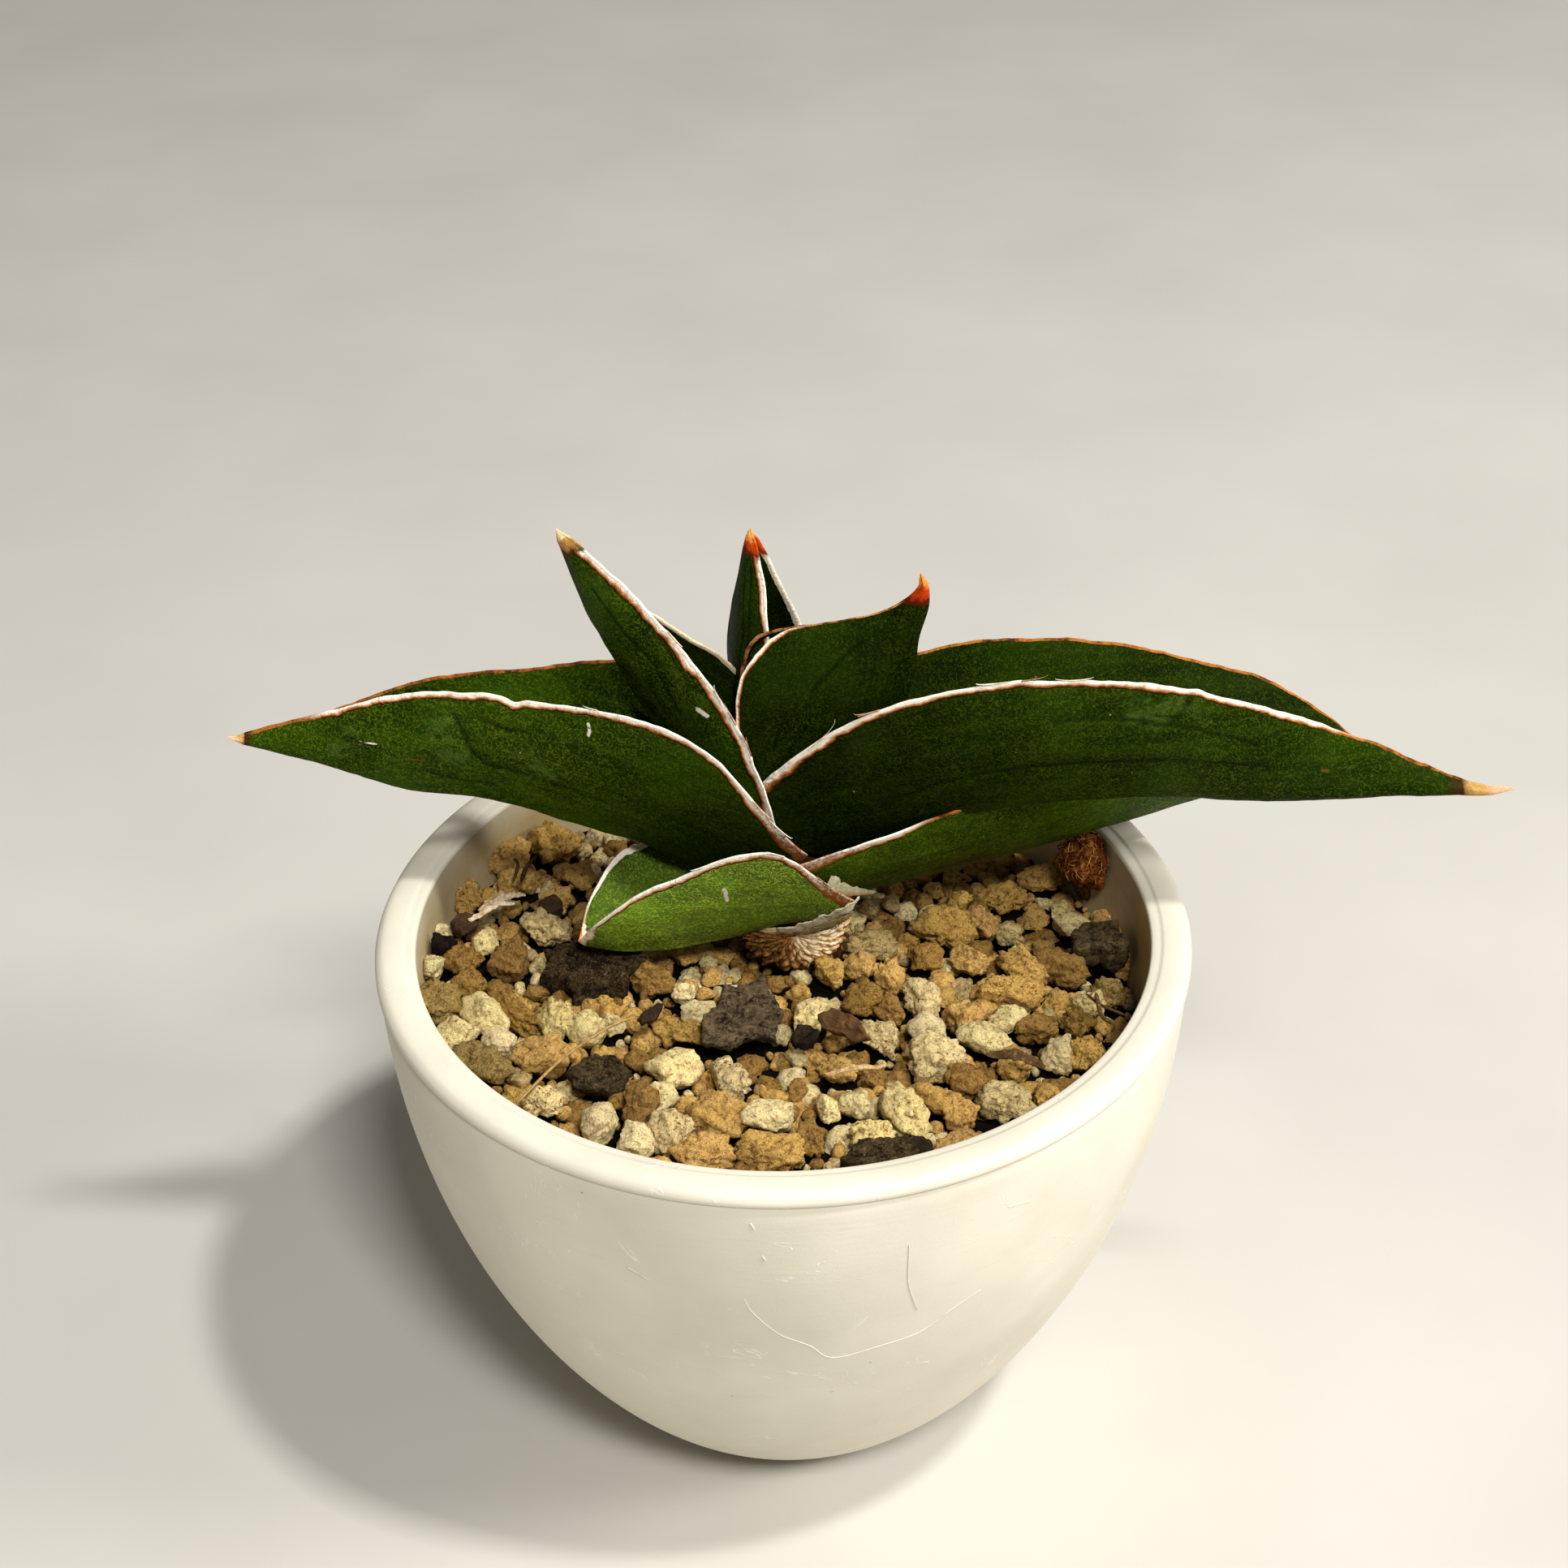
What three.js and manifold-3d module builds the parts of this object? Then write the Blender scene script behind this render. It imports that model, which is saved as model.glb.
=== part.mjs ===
// A dwarf snake plant: seven keeled leaves in two ranks on a short stem, in gravel in a bowl-shaped pot.
// Millimetres, +Z up. The origin is the middle of the pot's underside, and the leaves spread along X.
import * as THREE from 'three';
import { mergeVertices } from 'three/addons/utils/BufferGeometryUtils.js';
import Module from 'manifold-3d';

const wasm = await Module();
wasm.setup();

// Clearance between pieces that touch.
const GAP = 0.3;

// Pot: a moulded bowl with a thick flat lip, whose outer edge is bevelled.
const POT = {
  height: 75,
  rimRadius: 52.3,
  footRadius: 21.5,
  wall: 5.2,
  floor: 5,
  bevelWidth: 1.2,
  bevelHeight: 2,
  curve: [2.05, 0.82],
  sides: 42,
  outerSteps: 10,
  innerSteps: 7,
};
const DRAIN = { count: 4, radius: 3, ring: 12, sides: 16 };

// Gravel bed: the level of its surface, its slopes, and the dip beside the right wall.
const BED = {
  level: 65.4,
  slopeX: -0.03,
  slopeY: -0.015,
  dip: { x: 45, y: 8, depth: 2.5, reach: 14 },
  rings: [50, 38, 26, 13, 0],
  sides: 32,
};

// Stem: its axis, and its radius at some heights.
const STEM = {
  x: 2,
  y: 8,
  radii: [[56, 4.5], [62, 5.6], [66, 6.4], [69, 6.6], [71, 5.9], [74, 5], [78, 4.3], [82, 3.6], [86, 2.4]],
  top: 87.2,
  sides: 20,
};

// Leaves, from the innermost to the outermost. A leaf is a keel curve with two wings that open upwards.
//   base     where the keel starts
//   heading  the keel's direction in plan at the base, and how far it has turned at the tip
//   pitch    the keel's climb at the base, half way and at the tip
//   wing     the wings' depth, the share of it that they have at the base, and where they reach it
//   taper    the two exponents of the wings' narrowing to the tip
//   open     the angle of each wing from the middle plane at the base, half way and at the tip
//   sweep    how far the edges are swept back round the stem, and where that ends
//   turn     the turn of the whole section about the keel at the base, and how much more at the tip
//   belly    the bulge of a wing as a share of its depth
//   keel     the keel's radius, and flesh half the thickness of the wings beside it
//   waves    bulges: where, their reach, and what they add to the keel, the front wing and the back wing
const LEAVES = [
  {
    name: 'leaf_centre',
    base: [0.2, 10.9, 85.4], heading: [169, -5], pitch: [56, 90, 96], length: 41.9,
    wing: [7.4, 0.65, 0.62], taper: [1.54, 0.86], open: [13, 25, 14], sweep: [13, 0.35],
    turn: [-25, 4], belly: 0.1, keel: 1.2, flesh: 1.1, stations: 13,
    waves: [[0.6, 0.15, 0.6, 0.3, 1.4]],
  },
  {
    name: 'leaf_upper_right',
    base: [2.6, 7.7, 81.4], heading: [-12, -9], pitch: [88, 57, 106], length: 46.4,
    wing: [18.5, 0.37, 0.52], taper: [2.04, 1.73], open: [32, 4, 5], sweep: [24, 0.36],
    turn: [15, -4], belly: 0.13, keel: 1.4, flesh: 1.2, stations: 15,
    waves: [[0.55, 0.1, 0.9, -0.7, -0.1], [0.8, 0.1, -1.4, 1.1, 0.5]],
  },
  {
    name: 'leaf_upper_left',
    base: [-1.2, 9.3, 80.3], heading: [175, -7], pitch: [47, 62, 67], length: 52.8,
    wing: [12.7, 0.68, 0.34], taper: [1.72, 0.81], open: [53, 12, 0], sweep: [30, 0.32],
    turn: [-10, -16], belly: 0.1, keel: 1.4, flesh: 1.2, stations: 14,
    waves: [[0.55, 0.12, 0.2, -0.3, 0.8], [0.8, 0.12, 0.4, 0, -1.3]],
  },
  {
    name: 'leaf_big_right',
    base: [4.9, 6.1, 82], heading: [-8, 1], pitch: [34, 5, 5], length: 88.5,
    wing: [20.3, 0.73, 0.24], taper: [2, 1.44], open: [28, 26, 7], sweep: [25, 0.31],
    turn: [-12, -22], belly: 0.06, keel: 1.7, flesh: 1.5, stations: 20,
    waves: [[0.45, 0.1, -0.1, -0.5, 0.3], [0.65, 0.1, 0.3, -0.7, 1.3], [0.85, 0.1, -0.5, -0.3, -2.2]],
  },
  {
    name: 'leaf_big_left',
    base: [-2.6, 7.5, 77.1], heading: [180, -2], pitch: [29, 17, 12], length: 71,
    wing: [21.5, 0.6, 0.25], taper: [1.58, 1.1], open: [41, 15, 3], sweep: [6, 0.37],
    turn: [4, 0], belly: 0.06, keel: 1.7, flesh: 1.5, stations: 20,
    waves: [[0.5, 0.09, -0.4, -0.9, -0.6], [0.68, 0.09, 0.9, 1, 0.5], [0.84, 0.09, -0.1, 0.3, -0.3]],
  },
  {
    name: 'leaf_low_right',
    base: [5.4, 7.5, 74.4], heading: [13, 0], pitch: [5, 9, 11], length: 71.8,
    wing: [16.3, 0.94, 0.36], taper: [1.8, 1], open: [39, 30, 8], sweep: [27, 0.36],
    turn: [-4, 7], belly: 0.06, keel: 1.5, flesh: 1.4, stations: 14,
    waves: [[0.32, 0.15, 0, -2.2, 0]],
  },
  {
    name: 'leaf_low_left',
    base: [0.6, 4.2, 72.7], heading: [192, 1], pitch: [-10, 1, 17], length: 27.9,
    wing: [19.5, 0.66, 0.35], taper: [1.21, 0.5], open: [63, 39, 32], sweep: [56, 0.7],
    turn: [24, -21], belly: 0.06, keel: 1.1, flesh: 1, stations: 13,
    waves: [[0.6, 0.15, 0.1, -2.1, -1.9]],
  },
];
// What the leaves share: the bead's radius, the skin's points across a wing, how fast the flesh thins there,
// the narrowest valley between the wings, the least wing, and the steps along the keel.
const WING = { bead: 0.65, skin: [0.3, 0.6, 0.88], thinning: 0.8, valley: 0.15, least: 0.1, steps: 60 };
// The thinning towards the tip: the share of the length that it takes, its exponent, what is left in the end,
// the share in which the waves die out, and the last section.
const TIP = { share: 0.25, power: 0.6, keel: 0.3, bead: 0.25, flesh: 0.3, calm: 0.06, last: 0.985 };

// Stones that are picked out on the surface: x, y, length, width, and the turn of the length from X.
const STONES = [
  [-46, 1.5, 4.9, 3.8, 90], [-45.5, 9, 3.4, 2.6, 0], [-43, 17.5, 5, 4.2, 0], [-39.5, 7, 4.1, 3.6, 105],
  [-36, 3.5, 5.3, 5.5, 0], [-42, 3, 4.9, 4, 125], [-40.5, -2, 4.2, 3.6, 0], [-44.5, -6.5, 5.2, 5.4, 0],
  [-38.5, -9, 6.8, 4.4, 130], [-41.5, -12.5, 6, 4.1, 0], [-36, -14.5, 4.3, 3.5, 0],
  [-34.5, -8, 8.3, 3.3, 125], [-31.5, 10, 5.4, 4.8, 0], [-30.5, 16.5, 4.2, 3.5, 90],
  [-36, 20.5, 4.4, 4.4, 0], [-31.5, 29, 6.7, 5.6, 0], [-38, 26.5, 6, 4.5, 0], [-27.5, 22, 4.7, 3.8, 0],
  [-25, -11.5, 4.5, 4.1, 0], [-28.5, -10, 4.8, 4.8, 0], [-22, -10, 3.1, 3.1, 0],
  [-30, -16.5, 6.5, 5.1, 0], [-38, -18.5, 6.7, 4.7, 165], [-22.5, -30.5, 5.3, 4.2, 90],
  [-18.5, -33.5, 4.3, 4.5, 0], [-14, -32, 5.5, 4.9, 110], [-14, -19.5, 6.3, 4.5, 0],
  [-15.5, -25, 4, 3.8, 0], [-18, -26.5, 5, 5, 0], [-30, -26, 4.6, 3.6, 150], [-8, -28, 6.4, 5.4, 0],
  [-6.5, -21.5, 5.9, 3.6, 125], [-2, -28.5, 6.2, 4.2, 15], [-1.5, -36, 8.2, 5.3, 0],
  [-10, -35.5, 6.5, 4.5, 0], [5, -27, 3.4, 3, 90], [8.5, -26, 3.6, 3.4, 0], [3, -32, 5.5, 3, 100],
  [3, -10, 5.4, 3.7, 65], [6, -1, 5.3, 3.6, 105], [10, 0.5, 4, 4, 0], [-17, -1, 4.6, 4.4, 0],
  [-13, -4, 3.4, 2.5, 70], [-11, -7.5, 4.2, 2.9, 0], [-12, -12, 4.1, 3.5, 0], [6.5, -19, 4.7, 3.2, 155],
  [12, 6.5, 6.6, 3.6, 0], [21.5, 10.5, 7.8, 5.4, 0], [26.5, 12.5, 4.3, 4.6, 0], [18.5, 4, 4.1, 3.8, 0],
  [24.5, 4, 4.1, 3.2, 150], [13.5, -1, 3.6, 4.4, 0], [18, -5.5, 5.4, 4.6, 135], [23, -8.5, 5, 5, 55],
  [10, -6.5, 4.8, 4.6, 0], [13.5, -7.5, 4.8, 3.1, 110], [12, -13, 6.2, 3.9, 120],
  [18, -11.5, 4.7, 3.9, 135], [18.5, -17.5, 6.7, 5.5, 0], [25.5, -12.5, 6.4, 4.5, 155],
  [14.5, -27.5, 7.6, 4.4, 115], [18.5, -25, 5.6, 4, 150], [22.5, -21.5, 4.8, 4.6, 110],
  [21.5, -28, 3.8, 3.8, 0], [20, -34, 6.3, 3.3, 25], [10, -31.5, 5.3, 3, 0], [27, -26, 5.8, 4.8, 155],
  [30.5, 19, 5.9, 4.2, 0], [35.5, 23.5, 5.3, 3.1, 0], [39, 14, 4.8, 3.5, 150],
  [43.5, 13.5, 4.4, 4.4, 125], [30.5, 10.5, 3.9, 3, 105], [36.5, 4, 6.2, 5.1, 135],
  [31.5, 3, 7.2, 4.3, 135], [29.5, -3.5, 6.9, 4.8, 0], [39.5, -4, 3.6, 3.4, 0], [42.5, -2, 4.8, 4, 135],
  [28.5, -9, 4.6, 3.5, 0], [32, -10.5, 5, 4.1, 0], [37.5, -8.5, 4.6, 3.7, 150],
  [34.5, -16, 5.3, 3.9, 95], [38, -16, 3.9, 4.1, 0], [29, -18, 4.7, 3.9, 105], [35, -22.5, 5, 3, 0],
  [32, -24.5, 3.2, 3, 110],
];
// A stone: how much larger it is than what shows of it, its height as a share of its width, the draw of its
// corners, its tilt, and how far its middle stands over the bed as a share of its height.
const STONE = { growth: 1.25, flatness: 0.85, least: 0.94, spread: 0.26, tilt: 0.5, rise: 0.15 };
// The other stones: how many places are tried, the largest and smallest radius, and how near they lie.
const FILL = { tries: 700, largest: 3.4, smallest: 2.3, closeness: 1, seed: 4711 };

// Loose pieces on the gravel: middle, size, turn from X, lean, and the draw of their outline.
const CHIPS = [
  {
    name: 'bark_low_left', at: [-25, 0, 67.2], size: [14, 9, 4.6],
    turn: 10, lean: 6, seed: 11, colour: '#2b221b',
  },
  {
    name: 'bark_middle', at: [-6, -12, 69], size: [10.5, 9.5, 2.2],
    turn: 20, lean: 34, seed: 23, colour: '#6b5f50',
  },
  {
    name: 'bark_front', at: [-23, -21.6, 67.6], size: [8.6, 6, 2.4],
    turn: 4, lean: 24, seed: 5, colour: '#4a4238',
  },
  {
    name: 'bark_right', at: [41.9, 6.2, 65.4], size: [7.6, 5.8, 4],
    turn: -12, lean: 8, seed: 31, colour: '#5b4e42',
  },
  {
    name: 'bark_front_wall', at: [11.8, -38, 67.8], size: [10.4, 5.2, 3.8],
    turn: 6, lean: 26, seed: 47, colour: '#4b4035',
  },
];
// How far the hollow under a loose piece runs up past it, so that no stone hangs over the piece.
const POCKET_RISE = 8;
const COIR = { name: 'coir_lump', at: [41, 18, 70.8], size: [7.4, 6.8, 7.6], seed: 71 };

// Arithmetic that all the pieces share.
const radians = THREE.MathUtils.degToRad;
const clamp = THREE.MathUtils.clamp;
const mix = THREE.MathUtils.lerp;

// A repeatable draw of numbers from 0 to 1.
function draws(seed) {
  let state = seed;
  return () => {
    state = (state * 16807) % 2147483647;
    return state / 2147483647;
  };
}

// A value that passes through a at 0, b at a half and c at 1.
function through(a, b, c, u) {
  return a * (1 - u) * (1 - 2 * u) + 4 * b * u * (1 - u) + c * u * (2 * u - 1);
}

// A ball of flat faces whose corners are drawn in or out, one unit in radius.
function roughBall(detail, least, spread, draw) {
  const ball = new THREE.IcosahedronGeometry(1, detail);
  const geometry = mergeVertices(ball.deleteAttribute('normal').deleteAttribute('uv'));
  const corners = geometry.attributes.position;
  for (let i = 0; i < corners.count; i += 1) {
    const stretch = least + spread * draw();
    corners.setXYZ(i, corners.getX(i) * stretch, corners.getY(i) * stretch, corners.getZ(i) * stretch);
  }
  return geometry;
}

// A closed geometry as a solid, and back.
function solid(geometry) {
  geometry.deleteAttribute('normal');
  geometry.deleteAttribute('uv');
  const merged = mergeVertices(geometry, 1e-4);
  return new wasm.Manifold(new wasm.Mesh({
    numProp: 3,
    vertProperties: new Float32Array(merged.attributes.position.array),
    triVerts: new Uint32Array(merged.index.array),
  }));
}

function geometryOf(body) {
  const mesh = body.getMesh();
  const geometry = new THREE.BufferGeometry();
  geometry.setAttribute('position', new THREE.BufferAttribute(mesh.vertProperties, 3));
  geometry.setIndex(new THREE.BufferAttribute(mesh.triVerts, 1));
  return geometry;
}

// The largest connected body of a solid, so that crumbs cut loose by a neighbour are left out.
function largest(body) {
  const bodies = body.decompose();
  return bodies.reduce((best, next) => (next.volume() > best.volume() ? next : best));
}

// A closed skin over rings of as many points each, the first ring capped flat and the last by a tip.
function skin(rings, flat, tip) {
  const size = rings[0].length;
  const points = rings.flat().concat([tip]);
  const faces = [];
  for (let ring = 0; ring + 1 < rings.length; ring += 1) {
    for (let i = 0; i < size; i += 1) {
      const j = (i + 1) % size;
      const low = ring * size;
      const high = low + size;
      faces.push(low + i, low + j, high + j, low + i, high + j, high + i);
    }
  }
  const last = (rings.length - 1) * size;
  for (let i = 0; i < size; i += 1) {
    faces.push(last + i, last + ((i + 1) % size), points.length - 1);
  }
  for (const [a, b, c] of THREE.ShapeUtils.triangulateShape(flat, [])) {
    faces.push(a, c, b);
  }
  const numbers = points.flatMap((point) => point.toArray());
  const geometry = new THREE.BufferGeometry();
  geometry.setAttribute('position', new THREE.Float32BufferAttribute(numbers, 3));
  geometry.setIndex(faces);
  return geometry;
}

// Pot.
function bowl(rim, foot, depth) {
  const [power, root] = POT.curve;
  return foot + (rim - foot) * (1 - depth ** power) ** root;
}

// Points of a bowl's side from its foot up, closer together where it curves most.
function bowlSide(rim, foot, bottom, top, full, steps) {
  const points = [];
  const lowest = (full - top) / (full - bottom);
  for (let i = 0; i <= steps; i += 1) {
    const depth = 1 - (1 - lowest) * (i / steps) ** 1.7;
    points.push(new THREE.Vector2(bowl(rim, foot, depth), full - depth * (full - bottom)));
  }
  return points;
}

const INNER_RIM = POT.rimRadius - POT.wall;
const INNER_FOOT = POT.footRadius - POT.wall;

function turned(profile, sides) {
  return solid(new THREE.LatheGeometry(profile, sides).rotateX(Math.PI / 2));
}

function pot() {
  const shoulder = POT.height - POT.bevelHeight;
  const outside = bowlSide(POT.rimRadius, POT.footRadius, 0, shoulder, POT.height, POT.outerSteps);
  const inside = bowlSide(INNER_RIM, INNER_FOOT, POT.floor, POT.height, POT.height, POT.innerSteps);
  const profile = [
    new THREE.Vector2(0, 0),
    ...outside,
    new THREE.Vector2(POT.rimRadius - POT.bevelWidth, POT.height),
    ...inside.reverse(),
    new THREE.Vector2(0, POT.floor),
  ];
  let body = turned(profile, POT.sides);
  for (let i = 0; i < DRAIN.count; i += 1) {
    const angle = (2 * Math.PI * (i + 0.5)) / DRAIN.count;
    const hole = new THREE.CylinderGeometry(DRAIN.radius, DRAIN.radius, 3 * POT.floor, DRAIN.sides);
    hole.rotateX(Math.PI / 2);
    hole.translate(DRAIN.ring * Math.cos(angle), DRAIN.ring * Math.sin(angle), POT.floor / 2);
    body = body.subtract(solid(hole));
  }
  return body;
}

// The room inside the pot, less the gap that its filling keeps to the wall.
function room(top) {
  const wall = bowlSide(INNER_RIM - GAP, INNER_FOOT - GAP, POT.floor + GAP, top, POT.height, POT.innerSteps);
  return [new THREE.Vector2(0, POT.floor + GAP), ...wall];
}

// Leaves: the keel curve, and a section of the two wings at each station along it.
function keelPoint(leaf, u) {
  const heading = radians(leaf.heading[0] + leaf.heading[1] * u);
  const pitch = radians(through(...leaf.pitch, u));
  const along = new THREE.Vector3(
    Math.cos(pitch) * Math.cos(heading),
    Math.cos(pitch) * Math.sin(heading),
    Math.sin(pitch),
  );
  const inward = new THREE.Vector3(
    -Math.sin(pitch) * Math.cos(heading),
    -Math.sin(pitch) * Math.sin(heading),
    Math.cos(pitch),
  );
  const side = new THREE.Vector3(Math.sin(heading), -Math.cos(heading), 0);
  return { along, inward, side };
}

function keelCurve(leaf) {
  const points = [new THREE.Vector3(...leaf.base)];
  for (let i = 0; i < WING.steps; i += 1) {
    const step = keelPoint(leaf, i / WING.steps).along.add(keelPoint(leaf, (i + 1) / WING.steps).along);
    points.push(points[i].clone().addScaledVector(step, leaf.length / WING.steps / 2));
  }
  return points;
}

function onCurve(points, u) {
  const place = clamp(u, 0, 1) * WING.steps;
  const i = Math.min(Math.floor(place), WING.steps - 1);
  return points[i].clone().lerp(points[i + 1], place - i);
}

function wingDepth(leaf, u) {
  const [depth, atBase, peak] = leaf.wing;
  if (u > peak) {
    const [power, root] = leaf.taper;
    return depth * (1 - ((u - peak) / (1 - peak)) ** power) ** root;
  }
  return depth * mix(atBase, 1, THREE.MathUtils.smoothstep(u, 0, peak));
}

// What the bulges add at u to the keel, the front wing and the back wing.
function waveAt(leaf, u) {
  const total = [0, 0, 0];
  for (const [place, reach, ...amounts] of leaf.waves) {
    const strength = Math.exp(-(((u - place) / reach) ** 2)) * clamp((1 - u) / TIP.calm, 0, 1);
    amounts.forEach((amount, i) => {
      total[i] += amount * strength;
    });
  }
  return total;
}

// One wing's section from beside the keel to the opening: x runs from the keel to the opening, y across.
function wingOutline(leaf, u, depth, keel, edge, flesh) {
  const angle = radians(through(...leaf.open, u));
  const out = new THREE.Vector2(Math.cos(angle), Math.sin(angle));
  const across = new THREE.Vector2(-out.y, out.x);
  const middle = (s) => out.clone().multiplyScalar(s * depth)
    .addScaledVector(across, 4 * leaf.belly * depth * s * (1 - s));
  const half = (s) => mix(edge, flesh, (1 - s) ** WING.thinning);
  const innerAt = (s) => middle(s).addScaledVector(across, -half(s));
  let opening = 0.2;
  while (opening < 0.86 && innerAt(opening).y < WING.valley) {
    opening += 0.02;
  }
  const held = (point) => new THREE.Vector2(point.x, Math.max(point.y, WING.valley));
  const points = [
    new THREE.Vector2(-0.3 * keel, 0.85 * keel),
    ...WING.skin.map((s) => middle(s).addScaledVector(across, half(s))),
    middle(1).addScaledVector(across, edge),
    middle(1).addScaledVector(out, edge),
    held(innerAt(1)),
    held(innerAt(mix(opening, 1, 0.5))),
  ];
  return { points, valley: opening * depth * out.x };
}

// The whole section at u in its own plane, once round. The first depth is that of the wing towards +y.
function sectionOutline(leaf, u, depths, grow) {
  const fade = clamp((1 - u) / TIP.share, 0, 1) ** TIP.power;
  const keel = mix(TIP.keel, leaf.keel, fade) + grow;
  const edge = mix(TIP.bead, WING.bead, fade) + grow;
  const flesh = mix(TIP.flesh, leaf.flesh, fade) + grow;
  const [left, right] = depths.map((depth) => (
    wingOutline(leaf, u, Math.max(depth - edge + grow, WING.least), keel, edge, flesh)
  ));
  const valley = new THREE.Vector2(Math.min(left.valley, right.valley), 0);
  const mirrored = right.points.map((p) => new THREE.Vector2(p.x, -p.y));
  return [new THREE.Vector2(-keel, 0), ...mirrored, valley, ...left.points.reverse()];
}

function leafSection(leaf, curve, u, grow) {
  const { along, inward, side } = keelPoint(leaf, u);
  const [swept, sweptUntil] = leaf.sweep;
  const sweep = radians(swept) * clamp(1 - u / sweptUntil, 0, 1) ** 1.5;
  const roll = radians(leaf.turn[0] + leaf.turn[1] * u ** 2);
  const up = inward.clone().multiplyScalar(Math.cos(sweep)).addScaledVector(along, -Math.sin(sweep));
  const opening = up.clone().multiplyScalar(Math.cos(roll)).addScaledVector(side, Math.sin(roll));
  const across = side.clone().multiplyScalar(Math.cos(roll)).addScaledVector(up, -Math.sin(roll));
  const [keelWave, frontWave, backWave] = waveAt(leaf, u);
  const origin = onCurve(curve, u).addScaledVector(opening, -keelWave);
  const depth = wingDepth(leaf, u) + keelWave;
  const [front, back] = [depth + frontWave, depth + backWave];
  const outline = sectionOutline(leaf, u, side.y < 0 ? [front, back] : [back, front], grow);
  return {
    outline,
    ring: outline.map((p) => origin.clone().addScaledVector(opening, p.x).addScaledVector(across, p.y)),
  };
}

function leafBody(leaf, grow) {
  const curve = keelCurve(leaf);
  const sections = [];
  for (let i = 0; i < leaf.stations; i += 1) {
    sections.push(leafSection(leaf, curve, (TIP.last * i) / (leaf.stations - 1), grow));
  }
  const { along } = keelPoint(leaf, 1);
  const tip = onCurve(curve, 1).addScaledVector(along, grow);
  return solid(skin(sections.map((section) => section.ring), sections[0].outline, tip));
}

// Stem: round, with the ragged ribs of old leaf bases round its foot.
function stemBody(grow) {
  const rings = STEM.radii.map(([height, radius]) => {
    const ring = [];
    for (let i = 0; i < STEM.sides; i += 1) {
      const angle = (2 * Math.PI * i) / STEM.sides;
      const rib = 1 + 0.06 * Math.sin(5 * angle + height) + 0.04 * Math.sin(8 * angle - 2 * height);
      const reach = radius * rib + grow;
      const x = STEM.x + reach * Math.cos(angle);
      const y = STEM.y + reach * Math.sin(angle);
      ring.push(new THREE.Vector3(x, y, height));
    }
    return ring;
  });
  const flat = rings[0].map((p) => new THREE.Vector2(p.x, p.y));
  return solid(skin(rings, flat, new THREE.Vector3(STEM.x, STEM.y, STEM.top + grow)));
}

// Gravel.
function bedHeight(x, y) {
  const { dip } = BED;
  const away = ((x - dip.x) ** 2 + (y - dip.y) ** 2) / dip.reach ** 2;
  return BED.level + BED.slopeX * x + BED.slopeY * y - dip.depth * Math.exp(-away);
}

function bedBody() {
  const bottom = [0, BED.rings[0]].map((radius) => new THREE.Vector2(radius, 0));
  const surface = BED.rings.map((radius) => new THREE.Vector2(radius, BED.level));
  const geometry = new THREE.LatheGeometry([...bottom, ...surface], BED.sides).rotateX(Math.PI / 2);
  const place = geometry.attributes.position;
  for (let i = 0; i < place.count; i += 1) {
    if (place.getZ(i) > BED.level - 0.01) {
      place.setZ(i, bedHeight(place.getX(i), place.getY(i)));
    }
  }
  return solid(geometry);
}

// One angular stone, a jittered twenty-sided solid that is sunk into the bed.
function stoneBody(stone, draw) {
  const [x, y] = stone;
  const [length, width] = [STONE.growth * stone[2], STONE.growth * stone[3]];
  const height = STONE.flatness * width;
  const geometry = roughBall(0, STONE.least, STONE.spread, draw);
  geometry.rotateX(draw() * Math.PI).rotateY(draw() * Math.PI);
  geometry.scale(length / 2, width / 2, height / 2);
  geometry.rotateX((draw() - 0.5) * STONE.tilt).rotateZ(radians(stone[4]));
  geometry.translate(x, y, bedHeight(x, y) + STONE.rise * height);
  return solid(geometry);
}

// The picked-out stones, and then smaller and smaller ones wherever there is still room.
function allStones() {
  const draw = draws(FILL.seed);
  const stones = [...STONES];
  const limit = INNER_RIM - GAP - 1;
  for (let i = 0; i < FILL.tries; i += 1) {
    const radius = mix(FILL.largest, FILL.smallest, Math.sqrt(i / FILL.tries));
    const angle = 2 * Math.PI * draw();
    const distance = (limit - radius) * Math.sqrt(draw());
    const x = distance * Math.cos(angle);
    const y = distance * Math.sin(angle);
    const clear = stones.every(([sx, sy, length, width]) => (
      Math.hypot(x - sx, y - sy) > FILL.closeness * (radius + (length + width) / 4)
    ));
    if (clear) {
      stones.push([x, y, 2 * radius, 1.7 * radius, 180 * draw()]);
    }
  }
  return stones;
}

// Loose pieces: a broken slab with an uneven outline, and a rough lump.
function chipBody(chip, grow, rise) {
  const draw = draws(chip.seed);
  const [length, width, height] = chip.size;
  const outline = [];
  const corners = 9;
  for (let i = 0; i < corners; i += 1) {
    const angle = (2 * Math.PI * (i + 0.6 * draw())) / corners;
    const reach = 0.82 + 0.2 * draw();
    outline.push(new THREE.Vector2(
      (length / 2 + grow) * reach * Math.cos(angle),
      (width / 2 + grow) * reach * Math.sin(angle),
    ));
  }
  const options = { depth: height + 2 * grow + rise, bevelEnabled: false };
  const geometry = new THREE.ExtrudeGeometry(new THREE.Shape(outline), options);
  geometry.translate(0, 0, -height / 2 - grow).rotateX(radians(chip.lean)).rotateZ(radians(chip.turn));
  return solid(geometry.translate(...chip.at));
}

function lumpBody(lump, grow, rise) {
  const geometry = roughBall(1, 0.86, 0.24, draws(lump.seed));
  geometry.scale(...lump.size.map((size) => size / 2 + grow));
  const place = geometry.attributes.position;
  for (let i = 0; i < place.count; i += 1) {
    const z = place.getZ(i);
    place.setZ(i, z > 0 ? z + rise : z);
  }
  return solid(geometry.translate(...lump.at));
}

// The solids, each one cleared from those that it lies against.
const fillSpace = turned([...room(POT.height), new THREE.Vector2(0, POT.height)], BED.sides);
const stem = stemBody(0);

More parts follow.
